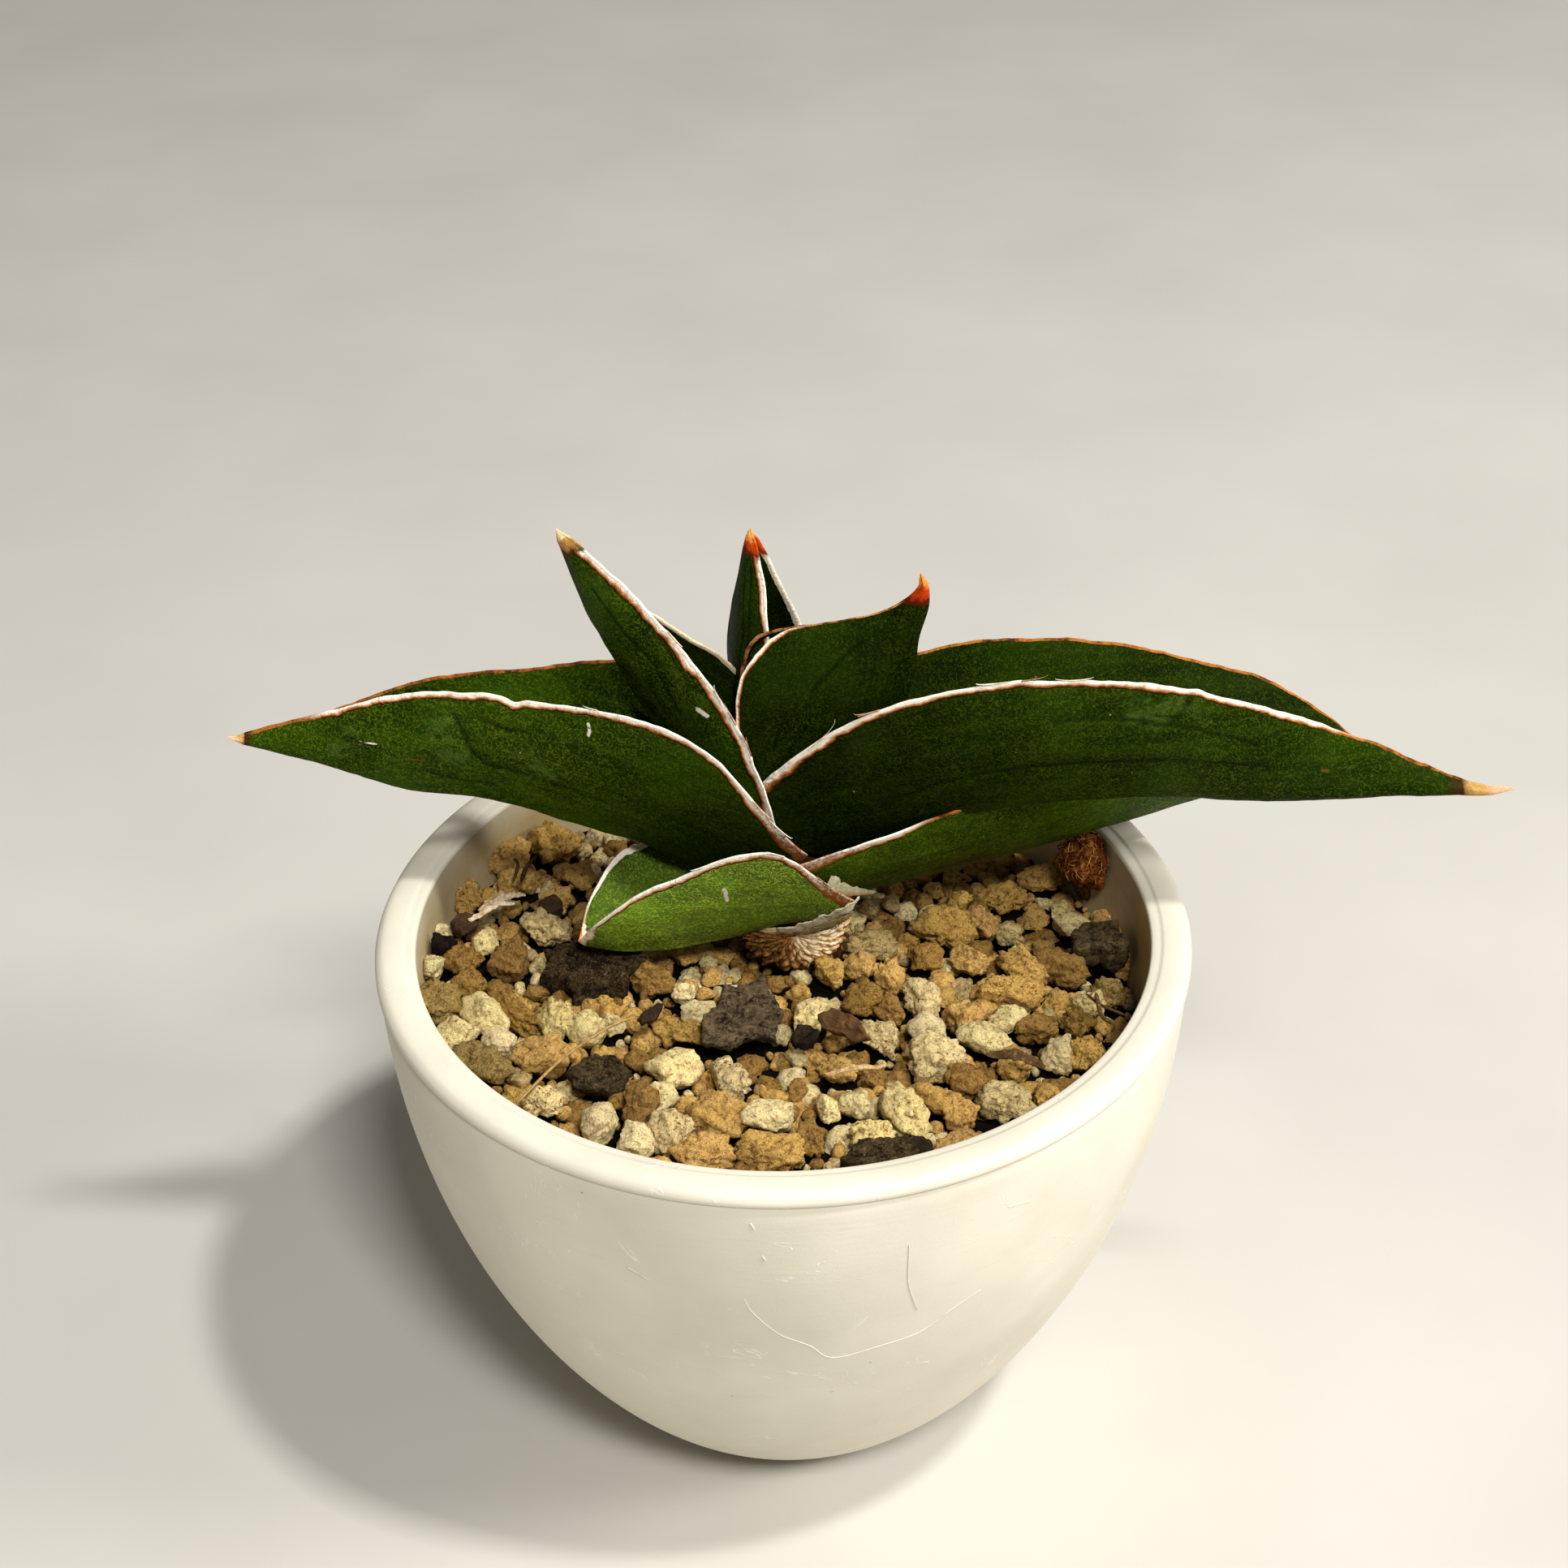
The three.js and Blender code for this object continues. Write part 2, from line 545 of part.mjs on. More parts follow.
const leafSolids = [];
let inner = stemBody(GAP);
for (const leaf of LEAVES) {
  leafSolids.push(largest(leafBody(leaf, 0).subtract(inner)));
  inner = inner.add(leafBody(leaf, GAP));
}

const bed = largest(
  allStones().reduce(
    ({ body, draw }, stone) => ({ body: body.add(stoneBody(stone, draw)), draw }),
    { body: bedBody(), draw: draws(FILL.seed + 1) },
  ).body
    .intersect(fillSpace)
    .subtract(inner),
);

const chips = CHIPS.map((chip) => largest(chipBody(chip, 0, 0).intersect(fillSpace).subtract(inner)));
const lump = largest(lumpBody(COIR, 0, 0).intersect(fillSpace).subtract(inner));
const pockets = [
  ...CHIPS.map((chip) => chipBody(chip, GAP, POCKET_RISE)),
  lumpBody(COIR, GAP, POCKET_RISE),
];
const soil = largest(pockets.reduce((body, pocket) => body.subtract(pocket), bed));

// The scene: one named mesh for each piece.
function mesh(name, body, colour, roughness) {
  const material = new THREE.MeshStandardMaterial({ color: colour, roughness, metalness: 0 });
  const piece = new THREE.Mesh(geometryOf(body), material);
  piece.name = name;
  return piece;
}

const plant = new THREE.Group();
plant.add(mesh('pot', pot(), '#e9e6da', 0.6));
plant.add(mesh('soil', soil, '#b58f52', 0.95));
plant.add(mesh('stem', stem, '#7a5a38', 0.9));
LEAVES.forEach((leaf, i) => plant.add(mesh(leaf.name, leafSolids[i], '#2f5a1e', 0.5)));
CHIPS.forEach((chip, i) => plant.add(mesh(chip.name, chips[i], chip.colour, 0.9)));
plant.add(mesh(COIR.name, lump, '#6b3418', 1));

export default plant;
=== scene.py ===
"""A dwarf snake plant with keeled leaves, growing from gravel in a bowl-shaped pot.

All lengths are millimetres until a mesh is made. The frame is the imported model's: the origin is the
middle of the pot's underside, +X runs along the two ranks of leaves, and -Y is the front.
"""

import math

import bmesh
import bpy
import numpy as np
from mathutils import Matrix, Vector


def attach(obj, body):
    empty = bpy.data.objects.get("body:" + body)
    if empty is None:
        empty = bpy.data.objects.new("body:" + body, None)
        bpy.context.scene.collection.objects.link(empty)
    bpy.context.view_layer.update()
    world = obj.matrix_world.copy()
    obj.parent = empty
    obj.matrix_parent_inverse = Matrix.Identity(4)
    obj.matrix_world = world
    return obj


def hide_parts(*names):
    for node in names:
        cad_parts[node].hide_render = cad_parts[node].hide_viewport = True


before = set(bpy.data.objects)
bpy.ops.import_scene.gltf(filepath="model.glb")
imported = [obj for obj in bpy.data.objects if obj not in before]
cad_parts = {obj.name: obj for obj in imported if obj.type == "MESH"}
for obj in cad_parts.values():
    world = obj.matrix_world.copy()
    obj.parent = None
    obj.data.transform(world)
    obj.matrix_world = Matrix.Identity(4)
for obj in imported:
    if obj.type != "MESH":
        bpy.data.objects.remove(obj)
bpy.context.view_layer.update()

# Leaves, from the innermost to the outermost. First their shape, with the same values as the solids:
#   heading  the keel's direction at its foot, and how far that turns, in degrees; pitch is its slope at the
#            foot, in the middle and at the tip, from base, the foot's place
#   wing     the wings' greatest depth, the share of it at the foot, and where it is reached
#   taper    the two powers by which a wing narrows from there to the tip
#   open     how far each wing opens at the foot, in the middle and at the tip, and belly how far it curves
#   sweep    how far the sections lean at the foot, and where that ends; turn is how far they roll
#   keel     half the thickness under the keel, and flesh beside it
#   waves    bulges: where, their reach, and what they add to the keel, the front wing and the back wing
# Then their looks:
#   band     the width of the pale margin on the front and the back wing
#   far      the colour of the back wing's margin
#   tone     how light the skin is, partly the leaf's own colour and partly painted light and shade, back the
#            share of that on the back wing, and foot the share at its foot, both painted shade
#   stipple  how strong the stipple is, and dust how much of a pale veil lies over the skin
#   dries    where the front margin turns thin and brown, from there to the tip
#   nicks    bumps and dents in the front margin: where, their reach and their height
#   tip      the dry tip's length, and its colours from the point inwards
LEAVES = [
    dict(
        name="leaf_centre", base=(0.2, 10.9, 85.4), heading=(169, -5), pitch=(56, 90, 96), length=41.9,
        wing=(7.4, 0.65, 0.62), taper=(1.54, 0.86), open=(13, 25, 14), sweep=(13, 0.35), turn=(-25, 4),
        belly=0.1, keel=1.2, flesh=1.1, waves=[(0.6, 0.15, 0.6, 0.3, 1.4)],
        tone=0.33, back=0.52, band=(0.9, 0.9), far="#e6d8c0", tip=(2.3, "#f0a050", "#b8400f", "#6a1c0a"),
    ),
    dict(
        name="leaf_upper_right", base=(2.6, 7.7, 81.4), heading=(-12, -9), pitch=(88, 57, 106), length=46.4,
        wing=(18.5, 0.37, 0.52), taper=(2.04, 1.73), open=(32, 4, 5), sweep=(24, 0.36), turn=(15, -4),
        belly=0.13, keel=1.4, flesh=1.2, waves=[(0.55, 0.1, 0.9, -0.7, -0.1), (0.8, 0.1, -1.4, 1.1, 0.5)],
        tone=0.23, back=0.62, band=(0.6, 0.5), far="#c98a50", dries=(0.62, 0.76),
        tip=(3.0, "#ee8a34", "#b43a0c", "#5c1408"),
    ),
    dict(
        name="leaf_upper_left", base=(-1.2, 9.3, 80.3), heading=(175, -7), pitch=(47, 62, 67), length=52.8,
        wing=(12.7, 0.68, 0.34), taper=(1.72, 0.81), open=(53, 12, 0), sweep=(30, 0.32), turn=(-10, -16),
        belly=0.1, keel=1.4, flesh=1.2, waves=[(0.55, 0.12, 0.2, -0.3, 0.8), (0.8, 0.12, 0.4, 0, -1.3)],
        tone=0.66, back=0.6, band=(1.2, 0.7), far="#e0cfae", tip=(2.6, "#f3d3a0", "#b98a4c", "#4a2c14"),
    ),
    dict(
        name="leaf_big_right", base=(4.9, 6.1, 82), heading=(-8, 1), pitch=(34, 5, 5), length=88.5,
        wing=(20.3, 0.73, 0.24), taper=(2, 1.44), open=(28, 26, 7), sweep=(25, 0.31), turn=(-12, -22),
        belly=0.06, keel=1.7, flesh=1.5,
        waves=[(0.45, 0.1, -0.1, -0.5, 0.3), (0.65, 0.1, 0.3, -0.7, 1.3), (0.85, 0.1, -0.5, -0.3, -2.2)],
        tone=0.42, back=0.8, foot=0.4, band=(0.85, 0.42), far="#b4702e", nicks=[(0.564, 0.008, 0.4)],
        dries=(0.7, 0.8), tip=(5.6, "#f2b48a", "#c39a5a", "#3a2010"),
    ),
    dict(
        name="leaf_big_left", base=(-2.6, 7.5, 77.1), heading=(180, -2), pitch=(29, 17, 12), length=71,
        wing=(21.5, 0.6, 0.25), taper=(1.58, 1.1), open=(41, 15, 3), sweep=(6, 0.37), turn=(4, 0),
        belly=0.06, keel=1.7, flesh=1.5,
        waves=[(0.5, 0.09, -0.4, -0.9, -0.6), (0.68, 0.09, 0.9, 1, 0.5), (0.84, 0.09, -0.1, 0.3, -0.3)],
        tone=0.7, back=0.95, foot=0.5, band=(0.9, 0.42), far="#a8662c",
        nicks=[(0.575, 0.02, 0.5), (0.525, 0.014, -0.8)],
        dries=(0.82, 0.88), tip=(2.0, "#f3cf9c", "#d8a869", "#3c1c10"),
    ),
    dict(
        name="leaf_low_right", base=(5.4, 7.5, 74.4), heading=(13, 0), pitch=(5, 9, 11), length=71.8,
        wing=(16.3, 0.94, 0.36), taper=(1.8, 1), open=(39, 30, 8), sweep=(27, 0.36), turn=(-4, 7),
        belly=0.06, keel=1.5, flesh=1.4, waves=[(0.32, 0.15, 0, -2.2, 0)],
        tone=1.05, back=0.6, band=(0.9, 0.4), far="#b87434", nicks=[(0.3, 0.13, 3.1)],
        dries=(0.17, 0.22), tip=(3.5, "#f3cf9c", "#c39a5a", "#3a2010"),
    ),
    dict(
        name="leaf_low_left", base=(0.6, 4.2, 72.7), heading=(192, 1), pitch=(-10, 1, 17), length=27.9,
        wing=(19.5, 0.66, 0.35), taper=(1.21, 0.5), open=(63, 39, 32), sweep=(56, 0.7), turn=(24, -21),
        belly=0.06, keel=1.1, flesh=1, waves=[(0.6, 0.15, 0.1, -2.1, -1.9)],
        tone=2.6, stipple=0.72, dust=0.06, back=0.46, band=(1.0, 0.9), far="#f0e6d4",
        tip=(0.7, "#e8893c", "#f0e2cc", "#d8c4a0"),
    ),
]
# A leaf's mesh: the spacing of its stations, the points over its keel, outer skin, edge and inner skin, half
# the thickness of its edge, and how far the edge's rounding reaches.
LEAF_MESH = dict(spacing=0.42, keel=5, skin=38, edge=7, inner=10, thin=0.2, reach=0.4)

# Creases in the front wings, sunk and darkened with painted shade: width, depth, and points as shares of the
# leaf's length and the wing's depth.
CREASES = {
    "leaf_big_right": [
        (0.34, 0.12, (0.38, 0.74), (0.46, 0.74), (0.54, 0.7), (0.6, 0.67), (0.645, 0.62)),
        (0.26, 0.08, (0.42, 0.8), (0.48, 0.8), (0.54, 0.78)),
        (0.34, 0.12, (0.14, 0.3), (0.25, 0.36), (0.335, 0.35), (0.445, 0.35), (0.555, 0.37), (0.66, 0.38)),
        (0.28, 0.08, (0.2, 0.22), (0.3, 0.24), (0.42, 0.2)),
        (0.38, 0.2, (0.556, 0.98), (0.545, 0.84), (0.527, 0.72)),
    ],
    "leaf_big_left": [
        (0.32, 0.26, (0.618, 0.84), (0.588, 0.6), (0.576, 0.48), (0.545, 0.36), (0.496, 0.36)),
        (0.28, 0.1, (0.496, 0.36), (0.408, 0.32), (0.33, 0.3)),
        (0.35, 0.15, (0.576, 0.8), (0.49, 0.76)),
        (0.3, 0.1, (0.642, 0.2), (0.582, 0.14), (0.521, 0.14)),
    ],
    "leaf_upper_left": [
        (0.3, 0.1, (0.84, 0.44), (0.724, 0.48), (0.612, 0.6), (0.477, 0.52)),
        (0.3, 0.1, (0.763, 0.92), (0.606, 0.88), (0.527, 0.84)),
    ],
    "leaf_upper_right": [
        (0.35, 0.14, (0.775, 0.56), (0.66, 0.57), (0.545, 0.6)),
        (0.3, 0.1, (0.427, 0.64), (0.325, 0.68)),
    ],
    "leaf_centre": [
        (0.22, 0.1, (0.882, 0.28), (0.695, 0.52), (0.521, 0.48)),
        (0.22, 0.1, (0.893, 0.6), (0.706, 0.64), (0.539, 0.64)),
    ],
    "leaf_low_left": [
        (0.2, 0.07, (0.24, 0.85), (0.2, 0.8), (0.15, 0.74)),
    ],
}
# Marks in the front wings: half the width, kind and points. Pale is a waxy patch.
SCARS = {
    "leaf_big_left": [
        (0.14, "scar", (0.402, 0.93), (0.396, 0.84)),
        (0.08, "scar", (0.769, 0.48), (0.724, 0.44)),
        (0.12, "rust", (0.683, 0.32), (0.648, 0.32)),
        (1.6, "pale", (0.635, 0.75), (0.615, 0.5), (0.6, 0.4)),
        (1.4, "pale", (0.78, 0.6), (0.8, 0.3)),
        (1.2, "pale", (0.5, 0.5), (0.42, 0.42)),
    ],
    "leaf_big_right": [
        (0.2, "rust", (0.742, 0.4), (0.734, 0.39)),
        (1.5, "pale", (0.545, 0.9), (0.52, 0.8), (0.49, 0.78)),
    ],
    "leaf_upper_left": [
        (0.25, "scar", (0.478, 0.76), (0.455, 0.82)),
    ],
    "leaf_low_left": [
        (0.14, "scar", (0.43, 0.74), (0.405, 0.58)),
    ],
}
# Torn fibres that stand off the front margins: where, length, how far they stand off, and shade.
FRAYS = {
    "leaf_big_right": [
        (0.318, 3.4, 0.7, 0.9), (0.357, 2.6, 1.0, 0.5), (0.414, 3.0, 0.5, 0.8), (0.2, 3.6, 0.8, 0.4),
        (0.14, 3.0, 0.9, 0.95),
    ],
    "leaf_big_left": [
        (0.402, 1.6, 0.9, 1.0), (0.12, 4.2, 0.7, 0.5), (0.07, 4.0, 0.8, 0.9),
    ],
    "leaf_low_left": [
        (0.521, 2.2, 1.0, 1.0), (0.3, 2.2, 0.5, 0.8), (0.12, 2.4, 0.7, 0.5),
    ],
    "leaf_upper_left": [
        (0.42, 2.4, 0.8, 0.6), (0.5, 1.8, 0.6, 0.9), (0.66, 2.0, 0.5, 0.8), (0.33, 3.0, 0.9, 0.4),
    ],
    "leaf_upper_right": [
        (0.3, 2.2, 0.6, 0.8),
    ],
}

# The gravel bed: its level, its slope along x and y, and its dip and its rise, each with the middle, how deep
# or high it is, and its reach. Its radius is that of the places where a stone may lie.
BED = dict(level=65.4, slope=(-0.03, -0.015), dip=(45, 8, 2.5, 14), rise=(5, -2, 1.7, 9), radius=46.4)
# The larger stones: x, y, length, width, turn and kind. Swell is how much larger they are made, as they
# sink in.
STONES = """
-46 1.5 4.9 3.8 90 c; -45.5 9 3.4 2.6 0 c; -43 17.5 5 4.2 0 t; -39.5 7 4.1 3.6 105 c; -36 3.5 5.3 5.5 0 b;
-42 3 4.9 4 125 b; -40.5 -2 4.2 3.6 0 b; -44.5 -6.5 5.2 5.4 0 o; -38.5 -9 6.8 4.4 130 c; -41.5 -12.5 6 4.1 0
c; -36 -14.5 4.3 3.5 0 c; -34.5 -8 8.3 3.3 125 b; -31.5 10 5.4 4.8 0 p; -30.5 16.5 4.2 3.5 90 y; -36 20.5
4.4 4.4 0 t; -31.5 29 6.7 5.6 0 y; -38 26.5 6 4.5 0 t; -27.5 22 4.7 3.8 0 t; -25 -11.5 4.5 4.1 0 c; -28.5
-10 4.8 4.8 0 p; -22 -10 3.1 3.1 0 c; -30 -16.5 6.5 5.1 0 t; -38 -18.5 6.7 4.7 165 o; -22.5 -30.5 5.3 4.2 90
c; -18.5 -33.5 4.3 4.5 0 c; -14 -32 5.5 4.9 110 p; -14 -19.5 6.3 4.5 0 c; -15.5 -25 4 3.8 0 c; -18 -26.5 5 5
0 b; -30 -26 4.6 3.6 150 p; -8 -28 6.4 5.4 0 t; -6.5 -21.5 5.9 3.6 125 p; -2 -28.5 6.2 4.2 15 c; -1.5 -36
8.2 5.3 0 t; -10 -35.5 6.5 4.5 0 t; 5 -27 3.4 3 90 c; 8.5 -26 3.6 3.4 0 c; 3 -32 5.5 3 100 b; 3 -10 5.4 3.7
65 p; 6 -1 5.3 3.6 105 t; 10 0.5 4 4 0 t; -17 -1 4.6 4.4 0 b; -13 -4 3.4 2.5 70 c; -11 -7.5 4.2 2.9 0 c; -12
-12 4.1 3.5 0 t; 6.5 -19 4.7 3.2 155 t; 12 6.5 6.6 3.6 0 g; 21.5 10.5 7.8 5.4 0 y; 26.5 12.5 4.3 4.6 0 t;
18.5 4 4.1 3.8 0 b; 24.5 4 4.1 3.2 150 t; 13.5 -1 3.6 4.4 0 t; 18 -5.5 5.4 4.6 135 p; 23 -8.5 5 5 55 t; 10
-6.5 4.8 4.6 0 b; 13.5 -7.5 4.8 3.1 110 b; 12 -13 6.2 3.9 120 p; 18 -11.5 4.7 3.9 135 c; 18.5 -17.5 6.7 5.5
0 p; 25.5 -12.5 6.4 4.5 155 c; 14.5 -27.5 7.6 4.4 115 p; 18.5 -25 5.6 4 150 t; 22.5 -21.5 4.8 4.6 110 b;
21.5 -28 3.8 3.8 0 t; 20 -34 6.3 3.3 25 t; 10 -31.5 5.3 3 0 p; 27 -26 5.8 4.8 155 p; 30.5 19 5.9 4.2 0 y;
35.5 23.5 5.3 3.1 0 t; 39 14 4.8 3.5 150 c; 43.5 13.5 4.4 4.4 125 t; 30.5 10.5 3.9 3 105 p; 36.5 4 6.2 5.1
135 b; 31.5 3 7.2 4.3 135 y; 29.5 -3.5 6.9 4.8 0 y; 39.5 -4 3.6 3.4 0 p; 42.5 -2 4.8 4 135 o; 28.5 -9 4.6
3.5 0 c; 32 -10.5 5 4.1 0 b; 37.5 -8.5 4.6 3.7 150 b; 34.5 -16 5.3 3.9 95 c; 38 -16 3.9 4.1 0 y; 29 -18 4.7
3.9 105 t; 35 -22.5 5 3 0 b; 32 -24.5 3.2 3 110 t; 43.8 11 5.6 4.6 20 y; 45 6.5 4.4 4 0 t; 42.6 23 5 4 0 b;
38.6 25.4 5 4.2 0 t; 44.6 15.8 4.6 4 0 c
"""
SWELL = 1.12
# Cream, tan, brown, grey, olive, pale pumice and yellow crumbs: the colour, how pitted and how crumbly.
KINDS = {
    "c": ("#ffebbc", 0.3, 0.8),
    "t": ("#e2b672", 0.4, 1.3),
    "b": ("#a8824a", 0.45, 1.4),
    "g": ("#c2a880", 0.5, 1.3),
    "o": ("#a28858", 0.5, 1.4),
    "p": ("#ffe6b0", 0.95, 1.4),
    "y": ("#e2b66c", 0.8, 1.6),
}
# The kinds of the smaller stones, each as often as it is drawn.
SMALL_KINDS = "tttttbbbbyyccccpg"

# Loose pieces, with the same values as the solids, and their dark and light colour.
CHIPS = [
    dict(name="bark_low_left", at=(-25, 0, 67.2), size=(14, 9, 4.6), turn=10, lean=6, seed=11,
         outline=[(-7, -1.4), (-4.4, -2.4), (-3, -4.6), (0.4, -3.6), (3.6, -4.4), (4.4, -2.6), (7, -1.6),
                  (5.8, 1.6), (6.4, 3.4), (1.6, 4.4), (-2.6, 3.6), (-4.2, 4.2), (-6, 1.8)],
         colours=("#0a0603", "#5e4a30")),
    dict(name="bark_middle", at=(-6, -12, 69), size=(10.5, 9.5, 2.2), turn=20, lean=34, seed=23,
         outline=[(-5.3, -2.2), (-2.6, -4), (0.6, -3.4), (3.2, -4), (5.1, -1.2), (4.6, 2.4), (5, 4.4),
                  (2.4, 3.6), (-0.6, 4.2), (-2.2, 2), (-4.4, 1)],
         colours=("#221a10", "#8c785a")),
    dict(name="bark_front", at=(-23, -21.6, 67.6), size=(8.6, 6, 2.4), turn=4, lean=24, seed=5,
         colours=("#1c160c", "#645438")),
    dict(name="bark_right", at=(41.9, 6.2, 65.4), size=(7.6, 5.8, 4), turn=-12, lean=8, seed=31,
         outline=[(-3.8, -0.6), (-2.6, -2.6), (0.2, -2.2), (1.4, -2.9), (3.8, -2.3), (3.4, 0.6), (2.2, 1.2),
                  (2, 2.9), (-0.8, 2.4), (-2, 2.8), (-3.2, 1.2)],
         colours=("#2c2214", "#86704e")),
    dict(name="bark_front_wall", at=(11.8, -38, 67.8), size=(10.4, 5.2, 3.8), turn=6, lean=26, seed=47,
         colours=("#20180c", "#6e5a3c")),
]
# How the sections of a chip go from below upwards: the share of its outline and that of its height.
CHIP_LEVELS = [
    (0.15, -0.5), (0.4, -0.5), (0.7, -0.5), (0.9, -0.48), (0.97, -0.4), (1.0, -0.2), (1.01, 0.1), (1.0, 0.33),
    (0.96, 0.43), (0.9, 0.48), *[(share, 0.5) for share in np.linspace(0.84, 0.06, 14)],
]
# The coir lump: its place, half its size, how far out from the pot's axis it may reach, and its fibres.
COIR = dict(at=(41, 18, 70.8), half=(3.7, 3.4, 3.8), limit=46.6, fibres=420)
# The stem: its axis and its radius at some heights, and the fan of shreds on its front.
STEM = dict(
    middle=(2, 8), bottom=57.5, top=86.6,
    radii=[(56, 4.5), (62, 5.6), (66, 6.4), (69, 6.6), (71, 5.9), (74, 5), (78, 4.3), (82, 3.6), (86, 2.4)],
)
FAN = dict(top=72.4, lean=-0.8, radius=6.6, spread=7.6, drop=4.8)
# Smaller flakes that lie on the stones.
FLAKES = [
    dict(at=(7.6, -15, 69.6), size=(7.6, 3.4, 1.1), turn=-38, lean=28, seed=3, shade=0.55,
         outline=[(-4, -0.3), (-2.4, -1.5), (0.4, -1.2), (2.2, -1.7), (4.2, -0.2), (2, 1.1), (0.2, 1.7),
                  (-2.6, 1.1)]),
    dict(at=(2.5, -16.6, 69.2), size=(4.2, 3.2, 1.6), turn=20, lean=15, seed=9, shade=0.1),
    dict(at=(-42, 8.6, 69), size=(4.2, 3.4, 1.6), turn=40, lean=-10, seed=13, shade=0.4),
    dict(at=(-44.6, 4.6, 68.6), size=(3.6, 3.4, 2.2), turn=10, lean=5, seed=15, shade=0),
    dict(at=(-16.8, -12.2, 69.8), size=(5, 1.8, 1), turn=50, lean=20, seed=19, shade=0.2),
    dict(at=(-31, 12.6, 68.6), size=(4, 3, 1.4), turn=-20, lean=12, seed=27, shade=0.3),
    dict(at=(15.8, -37.2, 68.6), size=(4.6, 3.4, 2.2), turn=-30, lean=20, seed=33, shade=0.15),
]
# Straws and roots on the stones: radius, shade and points.
STRAWS = [
    (0.2, 0.6, (-32.8, -29.4, 69.9), (-27.7, -22.3, 70.9), (-22, -16.4, 71.2), (-18.6, -13.2, 70.4)),
    (0.3, 0.35, (39.6, -9.2, 69.6), (39.6, -11.6, 70), (39.9, -14.2, 69.7), (41.6, -15.4, 69.3)),
    (0.2, 0.25, (38.4, -8.6, 69), (40, -12, 69.8), (43, -13.6, 69.3)),
    (0.3, 0.1, (-34.9, 14.9, 71), (-34.4, 17.5, 71.6), (-33.2, 21.4, 70.8)),
    (0.22, 0.2, (-36, 16, 70.6), (-35.6, 19, 71), (-36.4, 22, 70)),
]
# Peels on the stones: half the width, the way they face, seed, shade and points.
PEELS = [
    (0.55, (0, -0.4, 0.9), 3, 0.8,
     (-41.4, 7.8, 70.2), (-38.5, 9.4, 71), (-36.6, 11.6, 71.2), (-34.2, 12.6, 70.8)),
    (0.4, (0.2, -0.5, 0.8), 5, 0.7, (-40.2, 9.6, 70.4), (-38, 11.8, 71.1), (-36.4, 12.4, 71)),
    (0.3, (0, -0.7, 0.6), 6, 0.9, (-39.6, 11.4, 70.6), (-37.4, 10, 71.3), (-35.4, 10.4, 70.9)),
    (0.36, (0, -0.5, 0.85), 7, 0.68, (4.8, -25.8, 70.6), (8, -25, 71), (11.8, -24.2, 70.6)),
    (0.6, (0, -0.6, 0.8), 9, 0.3,
     (24.7, -22, 70.4), (27.5, -22.6, 70.8), (30, -23.4, 70.5), (31.8, -24.2, 69.9)),
]
# The pot: its height, its floor inside, the radius at the rim and at the foot of its outside and its inside,
# the two powers of its curve, the points over its lip, and its drain holes' places and radius.
POT = dict(
    height=75, floor=5, outside=(51.98, 21.5), inside=(47.1, 16.3), curve=(2.05, 0.82),
    underside=[(0.6, 0.6), (9, 0.6), (17.5, 0.6), (18.6, 0.1), (19.4, 0)],
    lip=[(51.9, 73.0), (52.15, 73.12), (52.3, 73.4), (52.28, 73.9), (52.02, 74.4), (51.6, 74.74),
         (51.3, 74.86), (50.9, 74.95), (50.2, 75), (49.5, 74.97), (48.9, 74.92), (48.55, 74.86), (48.4, 74.7),
         (48.2, 74.76), (48.0, 74.62), (47.8, 74.7), (47.6, 74.54), (47.4, 74.58), (47.2, 74.4),
         (47.08, 74.1)],
    middle=[(8, 5), (0.6, 5)],
    holes=[(8.5, 8.5), (-8.5, 8.5), (-8.5, -8.5), (8.5, -8.5)], hole=3,
)
# Scuffs on its outside: half the width, and points by angle and height.
SCUFFS = [
    (0.065, (-96.1, 57.6), (-95, 54.9), (-91.5, 50.7), (-87.4, 48.1), (-84, 45), (-77.1, 46.2), (-71.1, 47.4),
     (-66.9, 50.2), (-62.6, 52.3)),
    (0.05, (-74.3, 64.9), (-74, 58), (-72.3, 52.3)),
    (0.14, (-94.8, 70.6), (-94.3, 69.6)),
    (0.12, (-93.4, 65.3), (-93, 64.4)),
    (0.1, (-60, 66), (-56, 65.2)),
    (0.12, (-112, 60), (-109, 58.6)),
]


# Arithmetic that the pieces share.
def mix(a, b, share):
    return a + (b - a) * share


def unit(vectors):
    """The same directions with a length of one."""
    return vectors / (np.linalg.norm(vectors, axis=-1, keepdims=True) + 1e-9)


def circle(count):
    """Angles evenly round a circle."""
    return np.linspace(0, 2 * math.pi, count, endpoint=False)


def through(a, b, c, u):
    """A value that passes through a at 0, b at a half and c at 1."""
    return a * (1 - u) * (1 - 2 * u) + 4 * b * u * (1 - u) + c * u * (2 * u - 1)


def smooth(value, low, high):
    share = np.clip((value - low) / (high - low), 0, 1)
    return share * share * (3 - 2 * share)


def draws(seed):
    """The same repeatable draw of numbers as the solids use."""
    state = seed
    while True:
        state = (state * 16807) % 2147483647
        yield state / 2147483647


def uneven(points, size, seed, octaves=3):
    """A repeatable unevenness of about -1 to 1 at each point, whose widest bumps are size across."""
    draw = np.random.default_rng(seed)
    count = 7
    total = np.zeros(len(points))
    for octave in range(octaves):
        waves = draw.normal(size=(count, 3)) * 2.6 / size * 2**octave
        phases = draw.uniform(0, 2 * math.pi, count)
        total += np.sin(points @ waves.T + phases).sum(1) / (count / 2) * 0.55**octave
    return total


def turned(points, degrees, axis="Z"):
    turn = np.array(Matrix.Rotation(math.radians(degrees), 3, axis))
    return points @ turn.T


